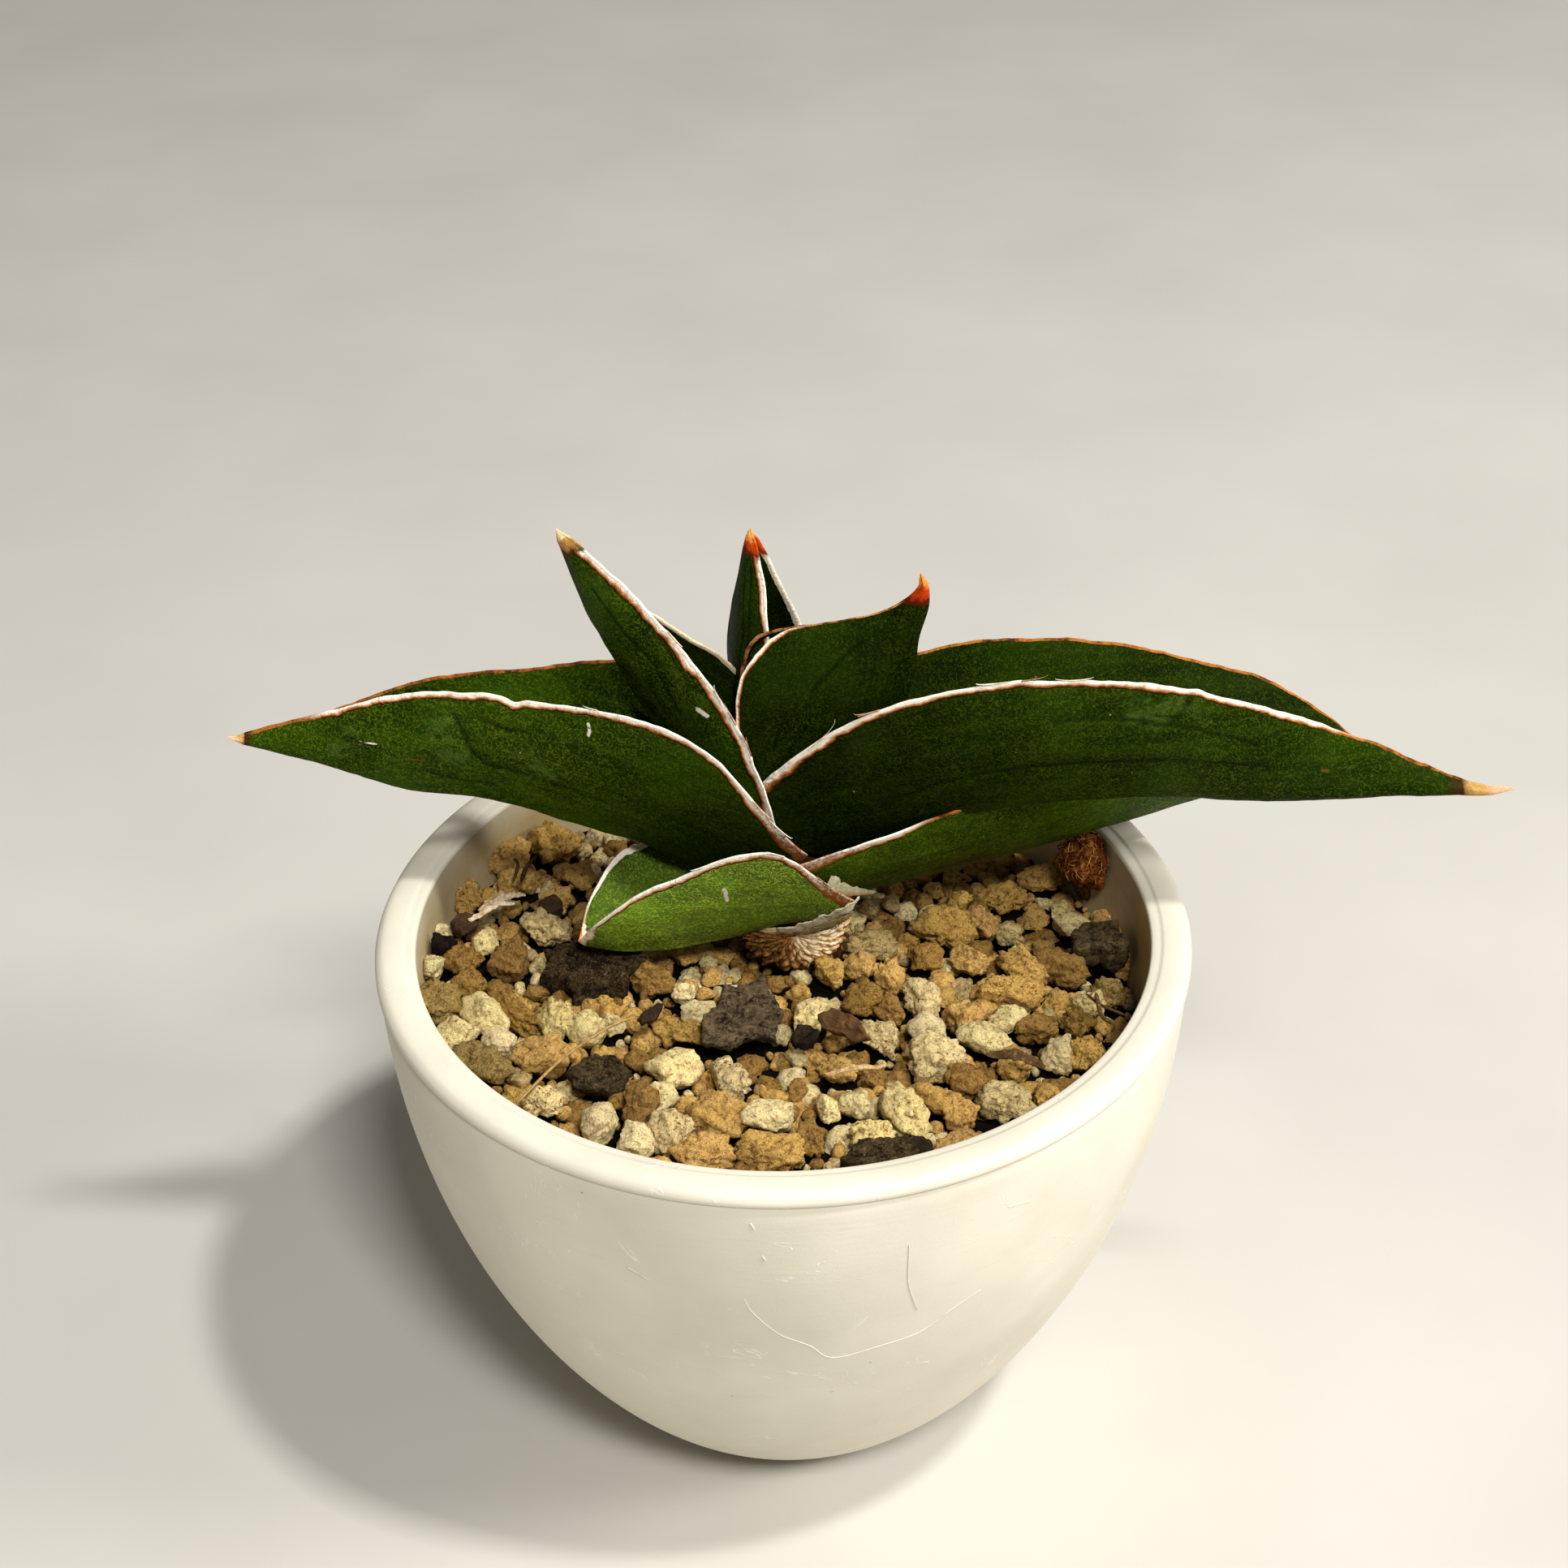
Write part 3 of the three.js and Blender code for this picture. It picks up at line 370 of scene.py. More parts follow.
# Meshes.
def piece(name, points, faces, material, slot, replaces=(), values=None):
    """Makes one piece that rides on the root. The values are attributes of its points."""
    mesh = bpy.data.meshes.new(name)
    mesh.from_pydata((np.asarray(points) * 0.001).tolist(), [], faces)
    mesh.validate()
    for key, numbers in (values or {}).items():
        numbers = np.asarray(numbers, dtype=float)
        kind, field = ("FLOAT_VECTOR", "vector") if numbers.ndim == 2 else ("FLOAT", "value")
        mesh.attributes.new(key, kind, "POINT").data.foreach_set(field, numbers.ravel())
    mesh.shade_smooth()
    mesh.materials.append(material)
    obj = bpy.data.objects.new(name, mesh)
    bpy.context.scene.collection.objects.link(obj)
    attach(obj, "root")
    if replaces:
        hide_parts(*replaces)
    return obj


def grid_faces(rows, columns, start=0, closed=True):
    """Quads over a grid of points, its rows joined round if closed."""
    faces = []
    last = columns if closed else columns - 1
    for row in range(rows - 1):
        for column in range(last):
            after = (column + 1) % columns
            low, high = start + row * columns, start + (row + 1) * columns
            faces.append((low + column, low + after, high + after, high + column))
    return faces


def fan(centre, ring, flip=False):
    """Triangles from a middle point to a ring."""
    faces = []
    for i, point in enumerate(ring):
        after = ring[(i + 1) % len(ring)]
        faces.append((centre, after, point) if flip else (centre, point, after))
    return faces


def level_ring(angles, radius, height, middle=(0, 0)):
    """Points round a level circle."""
    x, y = middle
    return np.stack([x + radius * np.cos(angles), y + radius * np.sin(angles), 0 * angles + height], 1)


def capped(rings, start, end):
    """A closed shape through rings of points, with a point in the middle of the first and of the last."""
    sides = len(rings[0])
    points = np.concatenate([*rings, [start, end]])
    first, last = len(points) - 2, len(points) - 1
    faces = grid_faces(len(rings), sides)
    faces += fan(first, range(sides), flip=True)
    faces += fan(last, range(first - sides, first))
    return points, faces


class Heap:
    """Gathers many small closed shapes into one mesh."""

    def __init__(self):
        self.points, self.faces, self.values, self.count = [], [], {}, 0

    def add(self, points, faces, **values):
        """Adds a shape. Each value is one number or colour for all of it, or one for each of its points."""
        self.faces += [tuple(i + self.count for i in face) for face in faces]
        self.points.append(points)
        for key, value in values.items():
            value = np.asarray(value, dtype=float)
            if value.shape in ((), (3,)):
                value = np.full((len(points), *value.shape), value)
            self.values.setdefault(key, []).append(value)
        self.count += len(points)

    def piece(self, name, material, slot, replaces=()):
        values = {key: np.concatenate(parts) for key, parts in self.values.items()}
        return piece(name, np.concatenate(self.points), self.faces, material, slot, replaces, values)


def tube(path, radii, flat=1.0, sides=6, up=(0, 0, 1)):
    """A tapering tube along a path. Flat squeezes it towards the direction up."""
    path = np.asarray(path, dtype=float)
    radii = np.broadcast_to(np.asarray(radii, dtype=float), (len(path),))[:, None, None]
    ahead = unit(np.gradient(path, axis=0))
    across = unit(np.cross(ahead, up))
    lift = np.cross(across, ahead)
    turn = circle(sides)[None, :, None]
    rings = path[:, None] + across[:, None] * np.cos(turn) * radii
    rings = rings + lift[:, None] * np.sin(turn) * radii * flat
    return capped(rings, path[0], path[-1])


def sheet(grid, thick):
    """A thin closed sheet through a grid of points."""
    rows, columns = grid.shape[:2]
    across = unit(np.cross(np.gradient(grid, axis=0), np.gradient(grid, axis=1))) * thick / 2
    points = np.concatenate([(grid + across).reshape(-1, 3), (grid - across).reshape(-1, 3)])
    front = grid_faces(rows, columns, closed=False)
    under = rows * columns
    back = [tuple(i + under for i in face[::-1]) for face in front]
    top, bottom = list(range(columns)), list(range(under - columns, under))
    right = list(range(columns - 1, under, columns))
    left = list(range(0, under, columns))
    border = top + right[1:] + bottom[::-1][1:] + left[::-1][1:-1]
    sides = [(a, a + under, b + under, b) for a, b in zip(border, border[1:] + border[:1])]
    return points, front + back + sides


def ribbon(path, half, facing, seed, crumple=0.15):
    """A torn flat strip along a path, half as wide as half says at each point, that faces one way."""
    facing = np.asarray(facing)
    side = unit(np.cross(np.gradient(path, axis=0), facing))
    spread = np.linspace(-1, 1, 6)
    grid = path[:, None] + side[:, None] * (spread[None, :, None] * np.asarray(half)[:, None, None])
    flat = grid.reshape(-1, 3)
    lift = crumple * uneven(flat, 1.6, seed)
    torn = 0.25 * uneven(flat, 0.9, seed + 1) * np.tile(np.abs(spread) ** 3, len(path))
    across = np.repeat(side, len(spread), 0) * (torn * np.repeat(half, len(spread)))[:, None]
    flat = flat + lift[:, None] * facing + across
    return sheet(flat.reshape(grid.shape), 0.12)


def curved(points, count):
    """A smooth path through some points."""
    points = np.asarray(points, dtype=float)
    padded = np.concatenate([2 * points[:1] - points[1:2], points, 2 * points[-1:] - points[-2:-1]])
    path = []
    for place in np.linspace(0, len(points) - 1, count):
        i = min(int(place), len(points) - 2)
        t = place - i
        a, b, c, d = padded[i:i + 4]
        bend = (2 * a - 5 * b + 4 * c - d) * t**2 + (3 * b - a - 3 * c + d) * t**3
        path.append(0.5 * (2 * b + (c - a) * t + bend))
    return np.array(path)


# Materials.
def paint(code, tone=1.0):
    """A colour code as the numbers that a shader takes, made lighter or darker by the tone."""
    parts = [int(code[i:i + 2], 16) / 255 for i in (1, 3, 5)]
    return tuple(tone * (p / 12.92 if p <= 0.04045 else ((p + 0.055) / 1.055) ** 2.4) for p in parts)


class Surface:
    """One material made of nodes, whose pattern sizes are in millimetres."""

    def __init__(self, name):
        self.material = bpy.data.materials.new(name)
        self.material.use_nodes = True
        self.tree = self.material.node_tree
        self.shader = self.tree.nodes["Principled BSDF"]
        place = self.tree.nodes.new("ShaderNodeTexCoord").outputs["Object"]
        self.place = self.stretch(place, (1000, 1000, 1000))

    def add(self, kind, inputs, output=0, **settings):
        """A node of this kind with its inputs joined or set. Gives one of its outputs."""
        node = self.tree.nodes.new("ShaderNode" + kind)
        for key, value in settings.items():
            setattr(node, key, value)
        for key, value in inputs.items():
            self.feed(node.inputs[key], value)
        return node.outputs[output]

    def feed(self, socket, value):
        if isinstance(value, bpy.types.NodeSocket):
            self.tree.links.new(value, socket)
        elif hasattr(socket.default_value, "__len__") and len(socket.default_value) == 4:
            socket.default_value = (*value, 1)
        else:
            socket.default_value = value

    def stretch(self, place, scale):
        return self.add("VectorMath", {0: place, 1: scale}, operation="MULTIPLY")

    def noise(self, size, detail=2, rough=0.5, warp=0, place=None, output=0):
        place = self.place if place is None else place
        inputs = {"Vector": place, "Scale": 1 / size, "Detail": detail}
        inputs.update({"Roughness": rough, "Distortion": warp})
        return self.add("TexNoise", inputs, output)

    def cells(self, size, place=None):
        place = self.place if place is None else place
        return self.add("TexVoronoi", {"Vector": place, "Scale": 1 / size})

    def value(self, name):
        return self.add("Attribute", {}, output=2, attribute_name=name)

    def sum(self, operation, a, b=0.0):
        return self.add("Math", {0: a, 1: b}, operation=operation)

    def times(self, a, b):
        return self.sum("MULTIPLY", a, b)

    def swing(self, noise, reach):
        """A noise pattern that goes evenly up and down around nought."""
        return self.times(self.sum("SUBTRACT", noise, 0.5), reach)

    def threads(self, noise):
        """Nought along the winding lines where a noise pattern has its middle value, and more beside them."""
        return self.sum("ABSOLUTE", self.sum("SUBTRACT", noise, 0.5))

    def band(self, value, low, high, start=0.0, end=1.0):
        """Goes smoothly from start to end as the value goes from low to high."""
        inputs = {"Value": value, "From Min": low, "From Max": high, "To Min": start, "To Max": end}
        return self.add("MapRange", inputs, interpolation_type="SMOOTHSTEP")

    def blend(self, share, a, b, how="MIX"):
        return self.add("Mix", {0: share, 6: a, 7: b}, output=2, data_type="RGBA", blend_type=how)

    def coat(self, colour, share, code, tone=1.0, how="MIX"):
        """A share of a colour code over a colour."""
        return self.blend(share, colour, paint(code, tone), how)

    def ramp(self, value, stops, tone=1.0):
        node = self.tree.nodes.new("ShaderNodeValToRGB")
        self.tree.links.new(value, node.inputs[0])
        elements = node.color_ramp.elements
        elements[0].position, elements[0].color = stops[0][0], (*paint(stops[0][1], tone), 1)
        elements[1].position, elements[1].color = stops[-1][0], (*paint(stops[-1][1], tone), 1)
        for position, code in stops[1:-1]:
            elements.new(position).color = (*paint(code, tone), 1)
        return node.outputs[0]

    def relief(self, *layers):
        """Bumps over one another, each from a pattern, its height in millimetres and its strength."""
        normal = None
        for pattern, height, strength in layers:
            inputs = {"Height": pattern, "Distance": height * 0.001, "Strength": strength}
            if normal is not None:
                inputs["Normal"] = normal
            normal = self.add("Bump", inputs)
        return normal

    def finish(self, colour, roughness, normal, shine, tint=(1, 1, 1)):
        """Joins the patterns to the shader. Shine is how strong its reflection is, and tint its colour."""
        sockets = {"Base Color": colour, "Roughness": roughness, "Normal": normal}
        sockets.update({"Specular IOR Level": shine, "Specular Tint": tint})
        for key, value in sockets.items():
            self.feed(self.shader.inputs[key], value)
        return self.material


def leaf_material(leaf):
    """Stippled green skin, a papery margin and a dry tip."""
    s = Surface(leaf["name"])
    skin, fleck, streaks = leaf_skin(s, leaf)
    skin = leaf_marks(s, skin)
    # Painted shade: the skin is darker on the back wing and towards its foot, by the leaf's back and foot.
    foot_shade = s.band(s.value("along"), 3, 0.42 * leaf["length"], leaf.get("foot", 1), 1)
    painted_shade = s.times(s.band(s.value("wing"), 0, 1, leaf["back"], 1), foot_shade)
    skin = s.add("VectorMath", {0: skin, 3: painted_shade}, operation="SCALE")
    margin, on_margin, fibres = leaf_margin(s, leaf)
    colour = leaf_tip(s, leaf, s.blend(on_margin, skin, margin))
    relief = s.relief((fleck, 0.05, 0.8), (streaks, 0.3, 0.6), (s.times(fibres, on_margin), 0.2, 0.9))
    rough = s.band(on_margin, 0, 1, 0.42, 0.8)
    return s.finish(colour, rough, relief, 0.03, (0.8, 1.0, 0.5))


def drawn_out(s, share):
    """Places on a leaf for a pattern that is drawn out along it."""
    return s.add("CombineXYZ", {"X": s.times(s.value("along"), share), "Y": s.value("across")})


def leaf_skin(s, leaf):
    """The green skin with its worm-like stipple, and the patterns of the stipple and the lengthwise bands."""
    tone, stipple = leaf["tone"], leaf.get("stipple", 0.6)
    # The tone makes each leaf's whole skin lighter or darker: partly its own colour and partly painted light
    # and shade.
    skin = s.ramp(s.noise(13, 3, 0.6), [(0.3, "#132304"), (0.5, "#213a05"), (0.72, "#36550a")], tone)
    streaks = s.noise(1.7, 3, 0.6, place=drawn_out(s, 0.12))
    skin = s.coat(skin, s.band(streaks, 0.4, 0.75, 0, 0.55), "#44600c", tone)
    fleck = s.band(s.threads(s.noise(0.52, 2, 0.5, 0.5)), 0.0, 0.06, 1, 0)
    shown = s.times(fleck, s.band(s.noise(6, 3), 0.35, 0.65, 0.7 * stipple, stipple))
    skin = s.coat(skin, shown, "#768c1a", tone)
    wax = s.band(s.noise(8, 4, 0.65, 0.6), 0.56, 0.78, 0, 0.22)
    skin = s.coat(skin, wax, "#5f782c", tone)
    # A pale veil over the skin, as much as the leaf's dust says.
    skin = s.coat(skin, leaf.get("dust", 0.0), "#dcc88c")
    return skin, fleck, streaks


def leaf_marks(s, skin):
    """Waxy patches, painted shade in the creases, pale scars, rusty marks and small white specks."""
    patch = s.times(s.value("pale"), s.band(s.noise(1.6, 4, 0.7), 0.35, 0.65))
    skin = s.coat(skin, s.band(patch, 0.1, 1, 0, 0.25), "#5f7d34")
    # Painted shade: the creases are darkened.
    skin = s.coat(skin, s.band(s.value("crease_shade"), 0.1, 1, 0, 0.68), "#081003")
    skin = s.coat(skin, s.band(s.value("scar"), 0.35, 0.7, 0, 0.95), "#ebe4cc")
    skin = s.coat(skin, s.band(s.value("rust"), 0.35, 0.9, 0, 0.6), "#7a4a1c")
    specks = s.times(s.band(s.cells(2.6), 0.03, 0.055, 1, 0), s.band(s.noise(3, 1), 0.55, 0.6))
    return s.coat(skin, specks, "#c4cda6")


def leaf_margin(s, leaf):
    """The papery margin's colour, how much of it shows, and its fibres."""
    along = s.value("along")
    ragged = s.sum("ADD", s.swing(s.noise(3.2, 2, 0.5), 0.9), s.swing(s.noise(0.8, 4, 0.7), 0.4))
    edge = s.sum("ADD", s.value("edge"), ragged)
    edge = s.add("MapRange", {"Value": edge, "From Min": -2, "From Max": 2})
    stops = [
        (0.36, "#35200f"), (0.395, "#8a4a1c"), (0.43, "#f4ead8"), (0.6, "#fcf6ea"),
        (0.64, "#d8a878"), (0.69, "#8e4c1e"), (0.73, "#1c0c03"),
    ]
    papery = s.ramp(edge, stops)
    fibres = s.noise(0.3, 3, 0.6, place=drawn_out(s, 0.06))
    papery = s.coat(papery, s.band(fibres, 0.52, 0.74, 0, 0.6), "#a06a3c")
    stripes = s.band(s.noise(0.8, 3, 0.6, 1.0), 0.42, 0.58, 0, 0.95)
    papery = s.coat(papery, s.times(s.band(along, 1, 11, 1, 0), stripes), "#6e3c14")
    papery = s.coat(papery, s.band(along, 1, 7, 0.75, 0), "#96581e")
    far = paint(leaf["far"])
    if leaf["band"][1] <= 0.6:
        far = s.coat(far, s.band(s.noise(2.6, 4, 0.7), 0.42, 0.66), "#4a260e")
    papery = s.blend(s.value("front"), far, papery)
    shown = s.times(s.band(edge, 0.36, 0.38), s.band(edge, 0.74, 0.755, 1, 0))
    return papery, shown, fibres


def leaf_tip(s, leaf, colour):
    """The dry tip over the leaf's colour."""
    length, end, middle, base = leaf["tip"]
    place = s.sum("ADD", s.value("tip"), s.swing(s.noise(1.4, 3), 2.4))
    tip = s.add("MapRange", {"Value": place, "From Max": length * 1.5})
    dry = s.ramp(tip, [(0.0, end), (0.3, end), (0.45, middle), (0.62, middle), (0.78, base), (1.0, base)])
    return s.blend(s.band(tip, 0.75, 1.0, 1, 0), colour, dry)


def stone_material():
    """Baked clay and pumice: mottled and pitted, in each stone's own colour, with painted shade in its
    hollows and crevices and painted highlight on its grains.
    """
    s = Surface("stones")
    tint = s.add("Attribute", {}, attribute_name="tint")
    mottle = s.noise(1.0, 5, 0.72)
    colour = s.coat(tint, s.band(mottle, 0.34, 0.5, 0.78, 0), "#a8854e", how="MULTIPLY")
    grains = s.noise(0.28, 3, 0.7)
    # Fine grains: partly the stone's own speckle and partly painted shade in their hollows.
    colour = s.coat(colour, s.band(grains, 0.3, 0.46, 0.65, 0), "#8c6c3c", how="MULTIPLY")
    # Painted highlight: the grains' tops are made lighter.
    light = s.coat(tint, 1.0, "#7a6434", how="SCREEN")
    colour = s.blend(s.band(grains, 0.5, 0.68, 0, 1.0), colour, light)
    warp = s.stretch(s.noise(0.7, output=1), (0.9, 0.9, 0.9))
    lumps = s.cells(0.95, s.add("VectorMath", {0: s.place, 1: warp}, operation="ADD"))
    # Painted shade in the crevices between the lumps.
    colour = s.coat(colour, s.band(lumps, 0.62, 0.9, 0, 0.4), "#7a5828", how="MULTIPLY")
    pores = s.times(s.band(s.noise(0.5, 3, 0.65), 0.3, 0.42, 1, 0), s.value("pits"))
    colour = s.coat(colour, pores, "#6a4416")
    rough = s.noise(1.2, 5, 0.8)
    round_lumps = s.sum("POWER", lumps, 2.0)
    relief = s.relief((rough, 1.3, 1.0), (round_lumps, -0.3, 1.0), (grains, 0.42, 1.0), (pores, -0.3, 0.9))
    return s.finish(colour, 0.95, relief, 0.15)


def fines_shade_material():
    s = Surface("fines")
    # Near black: painted shade in the gaps between the stones.
    colour = s.ramp(s.noise(1.2, 5, 0.7), [(0.3, "#040201"), (0.6, "#0f0803"), (0.85, "#2a1b0a")])
    return s.finish(colour, 1.0, s.relief((s.noise(0.7, 5, 0.7), 0.8, 1.0)), 0.1)


def pot_material():
    """Cream-white matte plastic with fine horizontal brushing, specks, faint scuffs and an inside that is
    darker and browner.
    """
    s = Surface("pot")
    brushed = s.noise(1.0, 4, 0.6, place=s.stretch(s.place, (0.12, 0.12, 2.2)))
    grain = s.noise(0.5, 3, 0.7)
    colour = s.ramp(s.noise(22, 3, 0.6), [(0.3, "#d6d0be"), (0.7, "#e5dfcd")])
    colour = s.coat(colour, s.band(brushed, 0.55, 0.8, 0, 0.25), "#c4bea8")
    specks = s.times(s.band(s.cells(4.5), 0.02, 0.045, 1, 0), s.band(s.noise(7, 1), 0.5, 0.55))
    colour = s.coat(colour, s.times(specks, 0.6), "#7d7358")
    lines = s.band(s.threads(s.noise(17, 4, 0.55, 1.6)), 0.0, 0.006, 1, 0)
    scuff = s.times(lines, s.band(s.noise(12, 2), 0.52, 0.62))
    colour = s.coat(colour, s.times(scuff, 0.6), "#fbfaf6")
    # Darker and browner in patches inside the pot, less so near the rim.
    dust = s.times(s.value("inside"), s.band(s.noise(9, 4, 0.6), 0.25, 0.75, 0.7, 1))
    colour = s.coat(colour, dust, "#c6b288", how="MULTIPLY")
    relief = s.relief((grain, 0.05, 0.4), (brushed, 0.06, 0.35), (scuff, 0.06, 0.6))
    return s.finish(colour, s.band(grain, 0.3, 0.7, 0.5, 0.62), relief, 0.4)


def bark_material(name, dark, light):
    """Weathered layers with small holes and pale dust."""
    s = Surface(name)
    layers = s.noise(1.2, 5, 0.7, 0.5, s.stretch(s.place, (0.7, 1.3, 1.2)))
    colour = s.ramp(layers, [(0.36, dark), (0.66, light)])
    colour = s.coat(colour, s.band(s.noise(0.6, 3, 0.6), 0.3, 0.42, 0.9, 0), "#080502")
    colour = s.coat(colour, s.band(s.noise(0.3, 4, 0.75), 0.52, 0.7, 0, 0.7), "#a08a60")
    return s.finish(colour, 0.95, s.relief((layers, 1.3, 1.0), (s.noise(0.5, 5, 0.8), 0.6, 1.0)), 0.08)


def fibre_material(name, codes, size=0.5):
    """Dry fibres whose shade differs from one to the next, from the first colour to the last."""
    s = Surface(name)
    shade = s.sum("ADD", s.value("shade"), s.swing(s.noise(size, 3, 0.7), 0.7))
    colour = s.ramp(shade, [(i / (len(codes) - 1), code) for i, code in enumerate(codes)])
    return s.finish(colour, 0.9, s.relief((s.noise(size / 2, 4, 0.7), 0.16, 1.0)), 0.08)


def floor_material():
    s = Surface("floor")
    colour = s.ramp(s.noise(60, 3), [(0.3, "#c5c2bb"), (0.7, "#ccc9c2")])
    return s.finish(colour, 0.8, s.relief((s.noise(1.5, 3), 0.05, 0.2)), 0.2)


# Leaves. The values of a point are its way from the margin's middle in widths of the margin, its way across
# the wing, how strongly it shows a crease's painted shade, a scar, rust and a pale patch, how papery its
# margin is, whether it is on the front wing, and its way along the leaf.
VALUES = ("edge", "across", "crease_shade", "scar", "rust", "pale", "front", "wing", "along")
# All but the last of these for points far from any margin.
OUTSIDE = (5.0, 0, 0, 0, 0, 0, 1, 1)
INSIDE = (-5.0, 0, 0, 0, 0, 0, 1, 1)
# Past the end of a leaf, where a margin starts to dry that stays fresh.
NEVER = (2, 3)


def keel_frames(leaf, u):
    """The directions along the keel, towards its inside and to its side, at each u."""
    heading = np.radians(leaf["heading"][0] + leaf["heading"][1] * u)
    pitch = np.radians(through(*leaf["pitch"], u))
    flat, rise = np.cos(pitch), np.sin(pitch)
    along = np.stack([flat * np.cos(heading), flat * np.sin(heading), rise], -1)
    inward = np.stack([-rise * np.cos(heading), -rise * np.sin(heading), flat], -1)
    side = np.stack([np.sin(heading), -np.cos(heading), 0 * heading], -1)
    return along, inward, side


def keel_curve(leaf, u):
    """The keel's place at each u."""
    steps = np.linspace(0, 1, 61)
    along = keel_frames(leaf, steps)[0]
    walk = np.cumsum((along[1:] + along[:-1]) / 2, 0) * leaf["length"] / (len(steps) - 1)
    curve = np.array(leaf["base"]) + np.concatenate([np.zeros((1, 3)), walk])
    return np.stack([np.interp(u, steps, curve[:, i]) for i in range(3)], -1)


def wing_depth(leaf, u):
    depth, at_base, peak = leaf["wing"]
    power, root = leaf["taper"]
    late = np.clip((u - peak) / (1 - peak), 0, 1)
    narrowing = (1 - late**power) ** root
    widening = mix(at_base, 1, smooth(u, 0, peak))
    return depth * np.where(u > peak, narrowing, widening)


def waves_at(leaf, u):
    """What the bulges add to the keel, the front wing and the back wing."""
    total = np.zeros((len(u), 3))
    for place, reach, *amounts in leaf["waves"]:
        strength = np.exp(-(((u - place) / reach) ** 2)) * np.clip((1 - u) / 0.06, 0, 1)
        total += strength[:, None] * np.array(amounts)
    return total


def wing_outline(leaf, u, depth, keel, edge, flesh, squeeze):
    """One wing's section, from beside the keel over the edge to the opening.

    Gives its points, each point's share of the wing's depth and how far it is from the middle of the edge
    (less than nought inside), and where the opening is."""
    mesh = LEAF_MESH
    angle = math.radians(through(*leaf["open"], u))
    out = np.array([math.cos(angle), math.sin(angle)])
    across = np.array([-out[1], out[0]])

    def middle(s):
        return np.outer(s * depth, out) + np.outer(4 * leaf["belly"] * depth * s * (1 - s), across)

    def half(s):
        return mix(edge, flesh, (1 - s) ** 0.8)[:, None] * across

    tries = np.arange(0.2, 0.88, 0.02)
    clear = (middle(tries) - half(tries))[:, 1] >= 0.15
    opening = tries[np.argmax(clear)] if clear.any() else 0.86
    turn = np.linspace(math.pi, math.pi / 2 + angle, mesh["keel"] + 1)[1:-1]
    round_keel = np.stack([np.cos(turn), np.sin(turn)], 1) * np.linspace(keel, flesh, len(turn))[:, None]
    s_skin = np.linspace(0, 1, mesh["skin"])
    bend = np.linspace(math.pi / 2, -math.pi / 2, mesh["edge"] + 2)[1:-1]
    rim = middle(np.ones(1)) + np.outer(np.cos(bend) * mesh["reach"] * squeeze, out)
    rim = rim + np.outer(np.sin(bend) * edge, across)
    s_inner = np.linspace(1, opening, mesh["inner"])
    inner = middle(s_inner) - half(s_inner)
    inner[:, 1] = np.maximum(inner[:, 1], 0.12 * squeeze)
    points = np.concatenate([round_keel, middle(s_skin) + half(s_skin), rim, inner])
    share = np.concatenate([0 * turn, s_skin, 1 + 0 * bend, s_inner])
    outside = mesh["reach"] + (1 - np.concatenate([0 * turn, s_skin])) * depth
    inside = -mesh["reach"] - (1 - s_inner) * depth
    away = np.concatenate([outside, bend / (math.pi / 2) * mesh["reach"], inside])
    return points, share, away, opening * depth * out[0]


def nearness(here, line, width):
    """How near each place on a wing is to a line: 1 on it, and less away from it."""
    best = np.full(len(here), 1e9)
    for a, b in zip(line[:-1], line[1:]):
        t = np.clip(((here - a) @ (b - a)) / max((b - a) @ (b - a), 1e-9), 0, 1)
        best = np.minimum(best, np.linalg.norm(here - a - t[:, None] * (b - a), axis=1))
    return np.exp(-((best / width) ** 2))


def wing_marks(leaf, u, share, depth):
    """How strongly each point shows a crease's painted shade, a scar, rust and a pale patch, and how deep it
    is sunk.
    """
    marks = {kind: np.zeros(len(share)) for kind in ("crease_shade", "scar", "rust", "pale")}
    sunk = np.zeros(len(share))
    size = np.array([leaf["length"], depth])
    here = np.stack([np.full(len(share), u), share], 1) * size
    for width, deep, *path in CREASES.get(leaf["name"], []):
        line = np.array(path) * size
        marks["crease_shade"] = np.maximum(marks["crease_shade"], nearness(here, line, width) * min(1, deep * 9))
        sunk = np.maximum(sunk, nearness(here, line, 1.6 * width) * deep)
    for half, kind, *path in SCARS.get(leaf["name"], []):
        marks[kind] = np.maximum(marks[kind], nearness(here, np.array(path) * size, half * 1.5))
    return np.stack(list(marks.values()), 1), sunk


def margin_wear(leaf, u, wing):
    """Small ups and downs of a margin, in millimetres."""
    places = np.stack([u * leaf["length"], 0 * u, 0 * u + 40 * wing + leaf["length"]], 1)
    wear = 0.16 * uneven(places, 6, 31, 4) * np.clip((1 - u) / 0.1, 0, 1)
    if wing == 0:
        for place, reach, height in leaf.get("nicks", []):
            wear += height * np.exp(-(((u - place) / reach) ** 2))
    return wear


def wing_values(leaf, u, front, share, away, depth):
    """What the material needs at each point of a wing's section, and how deep its creases are there."""
    outer = (away >= LEAF_MESH["reach"]) & front
    marks, sunk = wing_marks(leaf, u, share, depth)
    dried = smooth(u, *leaf.get("dries", NEVER))
    width = mix(leaf["band"][1], leaf["band"][0], front) * (1 + 1.2 * max(0, 1 - u / 0.2))
    edge = (away if front else np.abs(away)) / (width * mix(1, 0.45, dried))
    white = 0 * share + front * (1 - dried)
    values = np.column_stack([edge, share * depth, marks * outer[:, None], white, 0 * share + front])
    return values, sunk * outer


